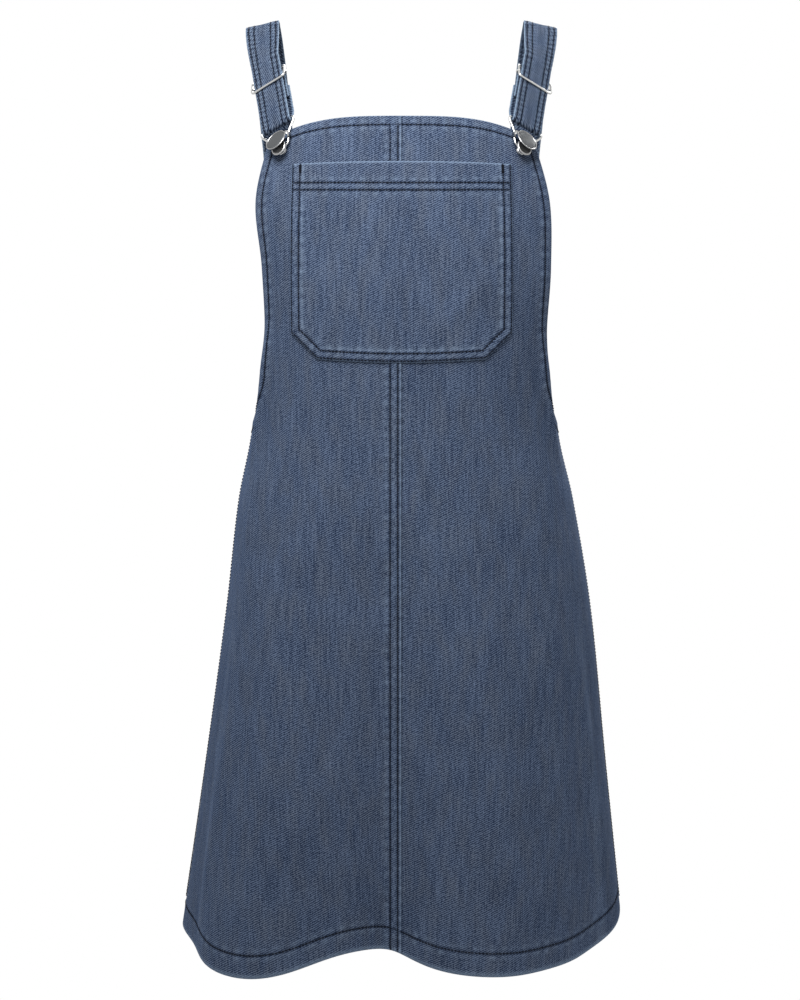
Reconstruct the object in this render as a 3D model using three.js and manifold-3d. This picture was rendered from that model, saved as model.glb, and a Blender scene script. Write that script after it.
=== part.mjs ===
// Bib smock apron: an A-line denim bib dress with a patch pocket, hung from two shoulder straps.
// Each strap runs from the back panel over the shoulder, through a wire slider, round the top bar
// of a wire clip and back up to the slider. The clip's keyhole hooks on a shank button on the bib.
// Millimetres, +Z up, the front faces -Y, the wearer's left is +X. The origin is midway between the
// straps, on the line where their undersides rest on the shoulders.
import * as THREE from "three";
import { mergeVertices } from "three/addons/utils/BufferGeometryUtils.js";
import Module from "manifold-3d";

const wasm = await Module();
wasm.setup();

// ---- driving dimensions ------------------------------------------------------------------------
const CLOTH = 1.2; // thickness of one cloth panel
const GAP = 0.3; // clearance between pieces that touch
const AXIS_Y = -12; // the body's vertical axis, in front of the shoulder line
const HEM_Z = -925; // mean height of the hem
const ARMHOLE_Z = -412; // underarm point, at the top of the side seam
const BIB_TOP = { middle: -108, corner: -129 }; // height of the bib's top edge
const BACK_TOP = { middle: -198, corner: -190 }; // height of the back's top edge

// The cloth's outer surface at a few heights: half width, depth to the front and to the back of
// the axis, how square the front and back halves of the section are (2 is an ellipse), and how far
// the sides lean towards the wearer's left.
const STATIONS = [
  { z: -100, width: 158, front: 106, back: 84, frontSquare: 2.3, backSquare: 2.6, lean: 0 },
  { z: -130, width: 169, front: 117, back: 92, frontSquare: 2.3, backSquare: 2.6, lean: 0 },
  { z: -190, width: 182, front: 132, back: 98, frontSquare: 2.35, backSquare: 2.6, lean: 1.5 },
  { z: -255, width: 174, front: 139, back: 97, frontSquare: 2.4, backSquare: 2.6, lean: 6.7 },
  { z: -325, width: 161, front: 140, back: 96, frontSquare: 2.4, backSquare: 2.5, lean: 5.6 },
  { z: -412, width: 158, front: 138, back: 100, frontSquare: 2.3, backSquare: 2.4, lean: 3.6 },
  { z: -490, width: 173, front: 140, back: 112, frontSquare: 2.3, backSquare: 2.4, lean: 4.5 },
  { z: -600, width: 188, front: 142, back: 124, frontSquare: 2.4, backSquare: 2.4, lean: 7.2 },
  { z: -760, width: 207, front: 145, back: 133, frontSquare: 2.5, backSquare: 2.4, lean: 4 },
  { z: -950, width: 230, front: 148, back: 140, frontSquare: 2.5, backSquare: 2.4, lean: 0 },
];

// Folds of the skirt at the hem, in degrees round from the centre front towards the wearer's left.
const FOLD_TOP = -400; // where the folds start
const FOLDS = [
  { at: -47, spread: 17, out: 16 },
  { at: -5, spread: 13, out: -24 },
  { at: 28, spread: 16, out: 20 },
  { at: 67, spread: 10, out: -9 },
  { at: -75, spread: 10, out: -8 },
  { at: 98, spread: 14, out: 4 },
  { at: -100, spread: 14, out: 4 },
  { at: 122, spread: 11, out: -6 },
  { at: -124, spread: 11, out: -6 },
  { at: 150, spread: 14, out: 12 },
  { at: -152, spread: 14, out: 12 },
  { at: 180, spread: 13, out: -12 },
];
// How far the hem hangs below or above its mean height.
const HEM_DROPS = [
  { at: -98, spread: 26, out: -10 },
  { at: -62, spread: 18, out: -22 },
  { at: -42, spread: 16, out: -22 },
  { at: -12, spread: 20, out: -2 },
  { at: 14, spread: 18, out: -15 },
  { at: 38, spread: 20, out: -20 },
  { at: 62, spread: 18, out: -14 },
  { at: 96, spread: 18, out: 18 },
  { at: 130, spread: 28, out: 1 },
  { at: 180, spread: 34, out: -7 },
  { at: -140, spread: 28, out: -3 },
];

// The armhole's edge as [degrees round from the centre front, height], bib corner to back corner.
const ARMHOLE = [
  [58.5, BIB_TOP.corner],
  [58.5, -185],
  [57.5, -255],
  [60, -325],
  [65, -376],
  [76, -404],
  [90, ARMHOLE_Z],
  [104, -404],
  [115, -376],
  [122, -325],
  [124.5, -255],
  [125.5, BACK_TOP.corner],
];

const FACING = { cloth: 1.0, gap: 0.8, armhole: 10, bib: 45, back: 30 }; // strips sewn inside the edges
const POCKET = {
  top: -155,
  bottom: -350,
  halfTop: 106,
  halfWide: 109.5,
  halfBottom: 82,
  cornerZ: -320,
  gape: 14, // how far the pocket's mouth stands off the bib
};

// Hardware frame of the wearer's right side: the button's place, the way up the strap, and the
// outward normal. The left side mirrors it.
const BUTTON = { x: -116.5, z: -141 };
const STRAP_UP = [-0.16, 0.53, 0.835];
const STRAP_OUT = [-0.57, -0.72, 0.38];
const STRAP = { width: 35, thick: 1.8 };
const WIRE = 1.2; // radius of the clip's and slider's wire
const CLIP = {
  plane: 4.2, // height of the wire's plane over the cloth
  bar: 31, // from the button's axis up to the top bar
  barHalf: 20,
  eye: 10.5, // radius of the keyhole's wide part, and the height of its centre
  neck: 4.2, // half width of the keyhole's narrow part
  capRadius: 12,
  capThick: 1.2,
  capPlane: 10.6,
};
const HEAD = { radius: 8.5, from: 7.5, to: 9.9 };
const SHANK = { neck: 2.6, flange: 4, bore: 1.5, boreTop: 5.4, neckTop: 6 };
const TACK = { shaft: 1.2, tip: 5, head: 4.6, from: -5.2, to: -6.0 };
const SLIDER = { at: 90, halfWidth: 20.4, halfHeight: 8.4, corner: 3, bar: 1.1 };
const STRAP_LINE = CLIP.plane + WIRE + GAP + STRAP.thick / 2; // the strap's mid plane
const LAYER_GAP = 1.6; // between the strap's tail and the layer of strap that returns behind it
const SPLIT = 62; // where the strap's moving end starts, above the button
const STRAIGHT = 108; // the strap is straight up to here, for the slider's travel
const SHOULDER = { x: 143.5, slope: 13, flat: 12 }; // top of the strap's path: place, slope, level stretch

const COLOURS = { denim: 0x56627a, facing: 0x6a768c, strap: 0x66748a, steel: 0xb9bbbd };

// ---- the cloth's surface -----------------------------------------------------------------------
const rad = THREE.MathUtils.degToRad;

// Smooth interpolation of one value of the stations at height z.
function station(key, z) {
  const last = STATIONS.length - 1;
  let i = 0;
  while (i < last - 1 && z < STATIONS[i + 1].z) i++;
  const at = (k) => STATIONS[Math.min(last, Math.max(0, k))];
  const slope = (k) => {
    const a = at(k - 1);
    const b = at(k + 1);
    return a === b ? 0 : (b[key] - a[key]) / (b.z - a.z);
  };
  const h = at(i + 1).z - at(i).z;
  const t = THREE.MathUtils.clamp((z - at(i).z) / h, 0, 1);
  const t2 = t * t;
  const t3 = t2 * t;
  return (
    (2 * t3 - 3 * t2 + 1) * at(i)[key] +
    (t3 - 2 * t2 + t) * h * slope(i) +
    (3 * t2 - 2 * t3) * at(i + 1)[key] +
    (t3 - t2) * h * slope(i + 1)
  );
}

// Sum of rounded bumps round the body at an angle in degrees.
function bumps(list, degrees) {
  return list.reduce((sum, { at, spread, out }) => {
    const away = THREE.MathUtils.euclideanModulo(degrees - at + 180, 360) - 180;
    return sum + out * Math.exp(-((away / spread) ** 2));
  }, 0);
}

// A point of the outer surface, at an angle in degrees round from the centre front and a height.
function surface(degrees, z, lift = 0) {
  const s = Math.sin(rad(degrees));
  const c = Math.cos(rad(degrees));
  const depth = station(c > 0 ? "front" : "back", z);
  const square = station(c > 0 ? "frontSquare" : "backSquare", z);
  const base = (Math.abs(s) / station("width", z)) ** square + (Math.abs(c) / depth) ** square;
  const fade = THREE.MathUtils.clamp((FOLD_TOP - z) / (FOLD_TOP - HEM_Z), 0, 1.1) ** 1.2;
  const r = base ** (-1 / square) + fade * bumps(FOLDS, degrees);
  const lean = station("lean", z) * Math.abs(s) ** (c > 0 ? 2 : 16); // the back takes less of it
  const point = new THREE.Vector3(r * s + lean, AXIS_Y - r * c, z);
  return lift ? point.addScaledVector(normalAt(degrees, z), lift) : point;
}

function slopes(degrees, z) {
  const round = surface(degrees + 0.1, z).sub(surface(degrees - 0.1, z)).multiplyScalar(5);
  const up = surface(degrees, z + 0.5).sub(surface(degrees, z - 0.5));
  return { round, up };
}

function normalAt(degrees, z) {
  const { round, up } = slopes(degrees, z);
  return round.cross(up).normalize();
}

// The angle at which the surface reaches a given x at height z, on the front.
function angleAtX(x, z) {
  let low = -89;
  let high = 89;
  for (let i = 0; i < 40; i++) {
    const middle = (low + high) / 2;
    if (surface(middle, z).x < x) low = middle;
    else high = middle;
  }
  return (low + high) / 2;
}

// ---- solids from grids -------------------------------------------------------------------------
// Turns an indexed closed geometry so that its faces point out: its signed volume is then positive.
function facingOut(geometry) {
  const { array } = geometry.attributes.position;
  const index = Array.from(geometry.index.array);
  const corner = (k) => new THREE.Vector3().fromArray(array, 3 * index[k]);
  let volume = 0;
  for (let k = 0; k < index.length; k += 3) {
    volume += corner(k).dot(corner(k + 1).cross(corner(k + 2)));
  }
  if (volume < 0) geometry.setIndex(index.reverse());
  return geometry;
}

// A closed solid between two grids of points of the same size.
function slab(outside, inside) {
  const rows = outside.length;
  const columns = outside[0].length;
  const points = [...outside.flat(), ...inside.flat()];
  const index = (side, i, j) => side * rows * columns + i * columns + j;
  const faces = [];
  const quad = (a, b, c, d) => faces.push(a, b, c, a, c, d);
  for (let i = 0; i < rows - 1; i++) {
    for (let j = 0; j < columns - 1; j++) {
      quad(index(0, i, j), index(0, i, j + 1), index(0, i + 1, j + 1), index(0, i + 1, j));
      quad(index(1, i, j), index(1, i + 1, j), index(1, i + 1, j + 1), index(1, i, j + 1));
    }
    quad(index(0, i, 0), index(0, i + 1, 0), index(1, i + 1, 0), index(1, i, 0));
    const end = columns - 1;
    quad(index(0, i, end), index(1, i, end), index(1, i + 1, end), index(0, i + 1, end));
  }
  for (let j = 0; j < columns - 1; j++) {
    quad(index(0, 0, j), index(1, 0, j), index(1, 0, j + 1), index(0, 0, j + 1));
    const end = rows - 1;
    quad(index(0, end, j), index(0, end, j + 1), index(1, end, j + 1), index(1, end, j));
  }
  const geometry = new THREE.BufferGeometry();
  const flat = points.flatMap((p) => [p.x, p.y, p.z]);
  geometry.setAttribute("position", new THREE.Float32BufferAttribute(flat, 3));
  geometry.setIndex(faces);
  return facingOut(geometry);
}

// A slab of the surface: place(i, j) gives [degrees, height], and near and far are lifts off it.
function cloth(rows, columns, place, near, far) {
  const grid = (lift) =>
    Array.from({ length: rows + 1 }, (_, i) =>
      Array.from({ length: columns + 1 }, (_, j) => {
        const [degrees, z] = place(i / rows, j / columns);
        return surface(degrees, z, typeof lift === "function" ? lift(degrees, z) : lift);
      }),
    );
  return slab(grid(near), grid(far));
}

function toManifold(geometry) {
  const bare = geometry.clone();
  bare.deleteAttribute("normal");
  bare.deleteAttribute("uv");
  const merged = mergeVertices(bare, 1e-4);
  return new wasm.Manifold(
    new wasm.Mesh({
      numProp: 3,
      vertProperties: merged.attributes.position.array,
      triVerts: new Uint32Array(merged.index.array),
    }),
  );
}

function fromManifold(solid) {
  const mesh = solid.getMesh();
  const geometry = new THREE.BufferGeometry();
  geometry.setAttribute("position", new THREE.BufferAttribute(mesh.vertProperties, 3));
  geometry.setIndex(new THREE.BufferAttribute(mesh.triVerts, 1));
  geometry.computeVertexNormals();
  return geometry;
}

const subtract = (from, ...tools) =>
  fromManifold(tools.reduce((solid, tool) => solid.subtract(toManifold(tool)), toManifold(from)));
const unite = (first, ...more) =>
  fromManifold(more.reduce((solid, part) => solid.add(toManifold(part)), toManifold(first)));

// ---- panels ------------------------------------------------------------------------------------
const armholeCurve = new THREE.CatmullRomCurve3(
  ARMHOLE.map(([degrees, z]) => new THREE.Vector3(degrees * 2.4, 0, z)),
  false,
  "centripetal",
);

function armhole(t) {
  const p = armholeCurve.getPoint(THREE.MathUtils.clamp(t, 0, 1));
  return [p.x / 2.4, p.z];
}

function armholeParameterAt(degrees) {
  let low = 0;
  let high = 1;
  for (let i = 0; i < 40; i++) {
    const middle = (low + high) / 2;
    if (armholeCurve.getPoint(middle).x / 2.4 < degrees) low = middle;
    else high = middle;
  }
  return (low + high) / 2;
}

const hemHeight = (degrees) => HEM_Z + bumps(HEM_DROPS, degrees);
const sideGap = (z) => THREE.MathUtils.radToDeg(GAP / 2 / surface(90, z).x);

// One quarter of the garment, from its centre line to the side seam and armhole. side is 1 for the
// wearer's left. The rows start level at the hem and end along the top edge.
function panel(side, isFront) {
  const centre = isFront ? 0 : 180;
  const top = isFront ? BIB_TOP : BACK_TOP;
  const seamShare = 0.5; // share of the rows below the underarm point
  const place = (v, u) => {
    const edge = sideEdge(v);
    const middleZ =
      v < seamShare
        ? THREE.MathUtils.lerp(hemHeight(centre), ARMHOLE_Z - 6, v / seamShare)
        : THREE.MathUtils.lerp(ARMHOLE_Z - 6, top.middle, (v - seamShare) / (1 - seamShare));
    const bend = THREE.MathUtils.lerp(2, isFront ? 4.2 : 2, v ** 4);
    let z = THREE.MathUtils.lerp(middleZ, edge[1], u ** bend);
    const seam = THREE.MathUtils.radToDeg(GAP / 2 / 140);
    const from = isFront ? seam : 180 - seam;
    const degrees = side * THREE.MathUtils.lerp(from, edge[0], u);
    const fade = Math.max(0, 1 - v / seamShare) ** 2;
    const straight = THREE.MathUtils.lerp(hemHeight(centre), hemHeight(side * 90), u ** 2);
    z += fade * (hemHeight(degrees) - straight);
    return [degrees, z];
  };
  const sideEdge = (v) => {
    if (v <= seamShare) {
      const z = THREE.MathUtils.lerp(hemHeight(side * 90), ARMHOLE_Z, v / seamShare);
      return [90 + (isFront ? -1 : 1) * sideGap(z), z];
    }
    const share = (v - seamShare) / (1 - seamShare);
    const from = armholeParameterAt(90 + (isFront ? -1 : 1) * sideGap(ARMHOLE_Z));
    return armhole(THREE.MathUtils.lerp(from, isFront ? 0 : 1, share));
  };
  return cloth(26, 12, place, 0, -CLOTH);
}

// A point moved across the surface, at right angles to a path's direction, by a distance in mm.
function stepAcross(place, t, distance) {
  const [degrees, z] = place(t);
  const [ahead, behind] = [place(Math.min(1, t + 1e-3)), place(Math.max(0, t - 1e-3))];
  const { round, up } = slopes(degrees, z);
  const along = round
    .clone()
    .multiplyScalar(ahead[0] - behind[0])
    .addScaledVector(up, ahead[1] - behind[1]);
  const across = round.clone().cross(up).cross(along).setLength(distance);
  const rr = round.dot(round);
  const uu = up.dot(up);
  const ru = round.dot(up);
  const det = rr * uu - ru * ru;
  const onRound = across.dot(round);
  const onUp = across.dot(up);
  return [degrees + (onRound * uu - onUp * ru) / det, z + (onUp * rr - onRound * ru) / det];
}

const INSIDE = [-CLOTH - FACING.gap, -CLOTH - FACING.gap - FACING.cloth];

// The strip sewn inside the armhole, one length from the bib's corner to the back's corner.
function armholeFacing(side) {
  const ends = { from: 0.004, to: 0.996 };
  const line = (t) => armhole(THREE.MathUtils.lerp(ends.from, ends.to, t));
  const place = (v, u) => {
    const [degrees, z] = stepAcross(line, v, THREE.MathUtils.lerp(0.4, FACING.armhole, u));
    return [side * degrees, z];
  };
  return cloth(34, 1, place, ...INSIDE);
}

// The facing inside the bib's or the back's top edge, between the two armhole strips.
function topFacing(isFront) {
  const top = isFront ? BIB_TOP : BACK_TOP;
  const depth = isFront ? FACING.bib : FACING.back;
  const centre = isFront ? 0 : 180;
  const reach = Math.abs(ARMHOLE[isFront ? 0 : ARMHOLE.length - 1][0] - centre);
  const place = (v, u) => {
    const across = 2 * u - 1; // from one armhole strip to the other
    const z = THREE.MathUtils.lerp(top.middle - 1, top.corner - 1, Math.abs(across) ** 4.2);
    const stripWidth = THREE.MathUtils.radToDeg((FACING.armhole + 1.6) / 150);
    const [edge] = armhole(isFront ? (v * depth) / 420 : 1 - (v * depth) / 420);
    const span = Math.min(reach, Math.abs(edge - centre)) - stripWidth;
    return [centre + across * span, z - v * depth];
  };
  return cloth(4, 16, place, ...INSIDE);
}

// ---- pocket ------------------------------------------------------------------------------------
function pocketHalf(z) {
  if (z > POCKET.cornerZ) {
    const down = (POCKET.top - z) / (POCKET.top - POCKET.cornerZ);
    return POCKET.halfTop + (POCKET.halfWide - POCKET.halfTop) * Math.sin(Math.PI * down * 0.75);
  }
  const cut = (POCKET.cornerZ - z) / (POCKET.cornerZ - POCKET.bottom);
  return THREE.MathUtils.lerp(POCKET.halfWide - 2, POCKET.halfBottom, cut);
}

// How far the pocket stands off the bib: most at the mouth, and nothing at the sewn edges.
function pocketGape(x, z) {
  const down = THREE.MathUtils.clamp((POCKET.top - z) / (POCKET.top - POCKET.bottom), 0, 1);
  const across = Math.min(1, Math.abs(x) / (pocketHalf(z) - 6));
  return POCKET.gape * (1 - across ** 2) * (1 - down ** 2);
}

function pocket() {
  const inner = 3 * GAP;
  const grid = (outward) =>
    Array.from({ length: 11 }, (_, i) => {
      // The bottom edge bows down a little in the middle.
      const z = THREE.MathUtils.lerp(POCKET.bottom, POCKET.top, i / 10);
      return Array.from({ length: 15 }, (_, j) => {
        const x = (2 * (j / 14) - 1) * pocketHalf(z);
        return surface(angleAtX(x, z), z, inner + pocketGape(x, z) + outward);
      });
    });
  return slab(grid(CLOTH), grid(0));
}

// ---- hardware frame ----------------------------------------------------------------------------
const buttonPlace = surface(angleAtX(BUTTON.x, BUTTON.z), BUTTON.z);
const up = new THREE.Vector3(...STRAP_UP).normalize();
const out = new THREE.Vector3(...STRAP_OUT);
out.addScaledVector(up, -out.dot(up)).normalize();
const across = up.clone().cross(out);
const hardware = new THREE.Matrix4().makeBasis(across, up, out).setPosition(buttonPlace);

// A point of the hardware frame: across the strap, up the strap, outward.
const at = (w, u, n) => new THREE.Vector3(w, u, n).applyMatrix4(hardware);

function rod(points, radius, segments, closed) {
  const curve = new THREE.CatmullRomCurve3(points, closed, "centripetal");
  if (closed) return new THREE.TubeGeometry(curve, segments, radius, 7, true);
  const section = new THREE.Shape().absarc(0, 0, radius, 0, 2 * Math.PI);
  return new THREE.ExtrudeGeometry(section, {
    steps: segments,
    extrudePath: curve,
    curveSegments: 4,
    bevelEnabled: false,
  });
}

// The clip's keyhole wire: top bar, sides running in, a round eye and a narrow neck below it.
function clipOutline() {
  const { bar, barHalf, eye, neck } = CLIP;
  const right = [
    [barHalf - 2.2, bar],
    [barHalf - 0.5, bar - 0.8],
    [barHalf, bar - 3],
    [eye + 3.6, eye + 8.4],
    [eye + 0.6, eye + 3],
    [eye - 0.1, eye - 2.5],
    [eye - 2.2, eye - 7],
    [neck + 0.9, eye - 9.2],
    [neck, -0.8],
    [neck * 0.72, -3.6],
  ];
  const left = right.map(([w, u]) => [-w, u]).reverse();
  return [[0, bar], ...right, [0, -4.9], ...left];
}

function clipWire(radius = WIRE) {
  const points = clipOutline().map(([w, u]) => new THREE.Vector3(w, u, CLIP.plane));
  return rod(points, radius, 54, true);
}

// The clip's round cover: a shallow dished plate with two lugs crimped round the wire.
function clipCap() {
  const { capRadius, capThick, capPlane, eye } = CLIP;
  const profile = [
    [0, 0.5],
    [capRadius * 0.7, 0.35],
    [capRadius - 0.5, 0],
    [capRadius, 0.4],
    [capRadius - 0.4, capThick],
    [capRadius * 0.6, capThick + 0.35],
    [0, capThick + 0.5],
  ].map(([r, n]) => new THREE.Vector2(r, n));
  const plate = new THREE.LatheGeometry(profile, 32);
  plate.rotateX(Math.PI / 2).translate(0, eye, capPlane);
  const lugs = [1, -1].map((side) =>
    new THREE.BoxGeometry(5, 4.4, capPlane - 1.6).translate(
      side * (eye + 1.1),
      eye + 1.2,
      capPlane / 2 + 1.6,
    ),
  );
  return subtract(unite(plate, ...lugs), clipWire(WIRE + GAP));
}

function lathe(profile, segments = 20) {
  const points = profile.map(([r, n]) => new THREE.Vector2(r, n));
  return new THREE.LatheGeometry(points, segments).rotateX(Math.PI / 2);
}

const buttonHead = () =>
  lathe(
    [
      [0, HEAD.from],
      [HEAD.radius - 0.8, HEAD.from],
      [HEAD.radius, HEAD.from + 0.9],
      [HEAD.radius - 0.6, HEAD.to - 0.4],
      [0, HEAD.to],
    ],
    24,
  );

const buttonShank = () =>
  lathe([
    [SHANK.bore, 1],
    [SHANK.flange, 1],
    [SHANK.flange, 1.6],
    [SHANK.neck, 2.1],
    [SHANK.neck, SHANK.neckTop],
    [SHANK.neck + 1.4, HEAD.from - GAP],
    [0, HEAD.from - GAP],
    [0, SHANK.boreTop],
    [SHANK.bore, SHANK.boreTop],
    [SHANK.bore, 1],
  ]);

const buttonTack = () =>
  lathe([
    [0, TACK.to],
    [TACK.head, TACK.to],
    [TACK.head, TACK.from],
    [TACK.shaft, TACK.from],
    [TACK.shaft, TACK.tip - 1.2],
    [0, TACK.tip],
  ]);

// The slider's frame: a rounded rectangle of wire, with its lower bar in front of the strap and
// its upper bar behind it.
function sliderFrame() {
  const { at: height, halfWidth: a, halfHeight: b, corner } = SLIDER;
  const stand = STRAP.thick / 2 + GAP + WIRE;
  const outward = (u) => STRAP_LINE - (stand * u) / b;
  const r = corner * 0.3;
  const quarter = [
    [a, b - corner],
    [a - r, b - r],
    [a - corner, b],
  ];
  const turn = ([sx, sy], reverse) => {
    const points = quarter.map(([w, u]) => [sx * w, sy * u]);
    return reverse ? points.reverse() : points;
  };
  const outline = [
    [a, 0],
    ...turn([1, 1]),
    [0, b],
    ...turn([-1, 1], true),
    [-a, 0],
    ...turn([-1, -1]),
    [0, -b],
    ...turn([1, -1], true),
  ];
  const points = outline.map(([w, u]) => new THREE.Vector3(w, height + u, outward(u)));
  return rod(points, WIRE, 40, true);
}

const BAR_LINE = STRAP_LINE - STRAP.thick / 2 - GAP - STRAP.thick - GAP - SLIDER.bar;

// The slider's bar behind the strap, with its ends turned forward to the frame's sides.
function sliderBar() {
  const frameBack = STRAP_LINE - WIRE - 2.5 * GAP; // clear of the tilted frame
  const a = SLIDER.halfWidth;
  const points = [
    [-a, frameBack],
    [-a, BAR_LINE + 1.4],
    [-a + 0.4, BAR_LINE + 0.4],
    [-a + 1.4, BAR_LINE],
    [0, BAR_LINE],
    [a - 1.4, BAR_LINE],
    [a - 0.4, BAR_LINE + 0.4],
    [a, BAR_LINE + 1.4],
    [a, frameBack],
  ].map(([w, n]) => new THREE.Vector3(w, SLIDER.at, n));
  return rod(points, SLIDER.bar, 18, false);
}

// ---- straps ------------------------------------------------------------------------------------
// A band of rectangular section. frames is a list of { p, side, face }: a point of its mid plane,
// the direction across it and the direction out of its face.
function band(frames, width, thick) {
  const grid = (sign) =>
    frames.map(({ p, side, face }) =>
      [-0.5, 0.5].map((share) =>
        p
          .clone()
          .addScaledVector(side, share * width)
          .addScaledVector(face, (sign * thick) / 2),
      ),
    );
  return slab(grid(1), grid(-1));
}

// A band that stays in the strap's own plane section: a path of [up, outward] in the hardware frame.
function bandInPlane(path, width, thick) {
  const points = path.map(([u, n]) => new THREE.Vector3(0, u, n));
  const x = new THREE.Vector3(1, 0, 0);
  const frames = points.map((p, i) => {
    const along = points[Math.min(i + 1, points.length - 1)].clone().sub(points[Math.max(i - 1, 0)]);
    return { p, side: x, face: x.clone().cross(along.normalize()) };
  });
  return band(frames, width, thick);
}

// An arc of a band's path round a rod: centre [up, outward], radius, and angles from "up".
function arc([u, n], radius, from, to, steps) {
  return Array.from({ length: steps + 1 }, (_, i) => {
    const a = rad(THREE.MathUtils.lerp(from, to, i / steps));
    return [u + radius * Math.cos(a), n + radius * Math.sin(a)];
  });
}

// The strap's moving end: down the front, round the clip's bar, and up behind.
function strapEnd() {
  const round = WIRE + GAP + STRAP.thick / 2;
  const behind = BAR_LINE - SLIDER.bar - GAP - STRAP.thick - LAYER_GAP - STRAP.thick / 2;
  const path = [
    [SPLIT - GAP, STRAP_LINE],
    ...arc([CLIP.bar, CLIP.plane], round, 90, 270, 10),
    [CLIP.bar + 12, behind],
    [SLIDER.at - 12, behind],
  ];
  return bandInPlane(path.reverse(), STRAP.width, STRAP.thick);
}

// The strap's sewn end: a fold round the slider's bar, with its tail hanging down behind.
function strapTab() {
  const round = SLIDER.bar + GAP + STRAP.thick / 2;
  const path = [
    ...arc([SLIDER.at, BAR_LINE], round, 150, -90, 12),
    [SLIDER.at - 13, BAR_LINE - round],
  ];
  return bandInPlane(path, STRAP.width - 1, STRAP.thick);
}

// Frames of a band along a smooth curve through keys of { p, side }.
function framesAlong(keys, stepsPerKey) {
  const curve = new THREE.CatmullRomCurve3(keys.map((k) => k.p), false, "centripetal");
  const steps = stepsPerKey * (keys.length - 1);
  return Array.from({ length: steps + 1 }, (_, i) => {
    const k = Math.min(keys.length - 2, Math.floor(i / stepsPerKey));
    const share = THREE.MathUtils.smoothstep(i / stepsPerKey - k, 0, 1);
    const along = curve.getTangent(i / steps);
    const side = keys[k].side.clone().lerp(keys[k + 1].side, share);
    side.addScaledVector(along, -side.dot(along)).normalize();
    return { p: curve.getPoint(i / steps), side, face: side.clone().cross(along).normalize() };
  });
}

// The strap from the slider over the shoulder to the back panel, on the wearer's right side. It
// lies level, from front to back, on a short stretch at the top of the shoulder.
function strapMain() {
  const slope = rad(SHOULDER.slope);
  const side = new THREE.Vector3(Math.cos(slope), 0, Math.sin(slope));
  const face = new THREE.Vector3(-Math.sin(slope), 0, Math.cos(slope));
  const shoulder = (x, y, drop) => {
    const lift = STRAP.thick / 2 / Math.cos(slope) - drop;
    return { p: new THREE.Vector3(x - SHOULDER.x, y, lift), side, face };
  };
  const backPlace = (degrees, z) => {
    const normal = normalAt(degrees, z);
    return {
      p: surface(degrees, z, GAP + STRAP.thick / 2),
      side: new THREE.Vector3(0, 0, 1).cross(normal).normalize(),
    };
  };
  const free = (x, y, z, ...across) => ({
    p: new THREE.Vector3(x, y, z),
    side: new THREE.Vector3(...across).normalize(),
  });
  const half = SHOULDER.flat / 2;
  const front = framesAlong(
    [
      { p: at(0, SPLIT, STRAP_LINE), side: across },
      { p: at(0, STRAIGHT, STRAP_LINE), side: across },
      { p: at(0, STRAIGHT + 8, STRAP_LINE), side: across },
      shoulder(0.5, -half - 14, 10),
      shoulder(0, -half - 4, 1.2),
    ],
    5,
  );
  const back = framesAlong(
    [
      shoulder(0, half + 4, 1.2),
      shoulder(1.5, half + 16, 12),
      free(-137, 46, -56, 0.95, 0.22, 0.2),
      free(-131, 61, -120, 0.93, 0.36, 0.08),
      backPlace(-123, BACK_TOP.corner - 1),
      backPlace(-123, BACK_TOP.corner - 30),
    ],
    5,
  );
  const level = [shoulder(0, -half, 0), shoulder(0, half, 0)];
  return band([...front, ...level, ...back], STRAP.width, STRAP.thick);
}

// ---- assembly ----------------------------------------------------------------------------------
const apron = new THREE.Group();

const material = (color, roughness, metalness) =>
  new THREE.MeshStandardMaterial({ color, roughness, metalness });
const materials = {
  denim: material(COLOURS.denim, 0.9, 0),
  facing: material(COLOURS.facing, 0.9, 0),
  strap: material(COLOURS.strap, 0.9, 0),
  steel: material(COLOURS.steel, 0.28, 1),
};

function addPart(name, geometry, kind) {
  const mesh = new THREE.Mesh(geometry, materials[kind]);
  mesh.name = name;
  apron.add(mesh);
  return mesh;
}

// A copy of a geometry, mirrored to the wearer's left.
function mirrored(geometry) {
  const copy = geometry.clone().scale(-1, 1, 1);
  copy.deleteAttribute("normal");
  copy.deleteAttribute("uv");
  return facingOut(mergeVertices(copy, 1e-4));
}

const tackHole = () =>
  new THREE.CylinderGeometry(SHANK.bore, SHANK.bore, 24, 12)
    .rotateX(Math.PI / 2)
    .applyMatrix4(hardware);
const rightHole = tackHole();
const leftHole = mirrored(tackHole());

addPart("front_panel_left", subtract(panel(1, true), leftHole), "denim");
addPart("front_panel_right", subtract(panel(-1, true), rightHole), "denim");
addPart("back_panel_left", panel(1, false), "denim");
addPart("back_panel_right", panel(-1, false), "denim");
addPart("bib_facing", subtract(topFacing(true), leftHole, rightHole), "facing");
addPart("back_facing", topFacing(false), "facing");
addPart("armhole_facing_left", armholeFacing(1), "facing");
addPart("armhole_facing_right", armholeFacing(-1), "facing");
addPart("bib_pocket", pocket(), "denim");

const hardwareParts = [
  ["strap_end", strapEnd, "strap"],
  ["strap_tab", strapTab, "strap"],
  ["slider_frame", sliderFrame, "steel"],
  ["slider_bar", sliderBar, "steel"],
  ["clip_wire", clipWire, "steel"],
  ["clip_cap", clipCap, "steel"],
  ["button_head", buttonHead, "steel"],
  ["button_shank", buttonShank, "steel"],
  ["button_tack", buttonTack, "steel"],
];
for (const [name, make, kind] of hardwareParts) {
  const geometry = make().applyMatrix4(hardware);
  addPart(`${name}_right`, geometry, kind);
  addPart(`${name}_left`, mirrored(geometry), kind);
}
const strap = strapMain();
addPart("strap_right", strap, "strap");
addPart("strap_left", mirrored(strap), "strap");

export default apron;
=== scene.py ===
"""The looks of the bib smock apron: denim panels, pocket, straps, topstitching and clip hardware."""
import math

import bpy
import numpy as np
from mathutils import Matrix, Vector
from mathutils.kdtree import KDTree


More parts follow.
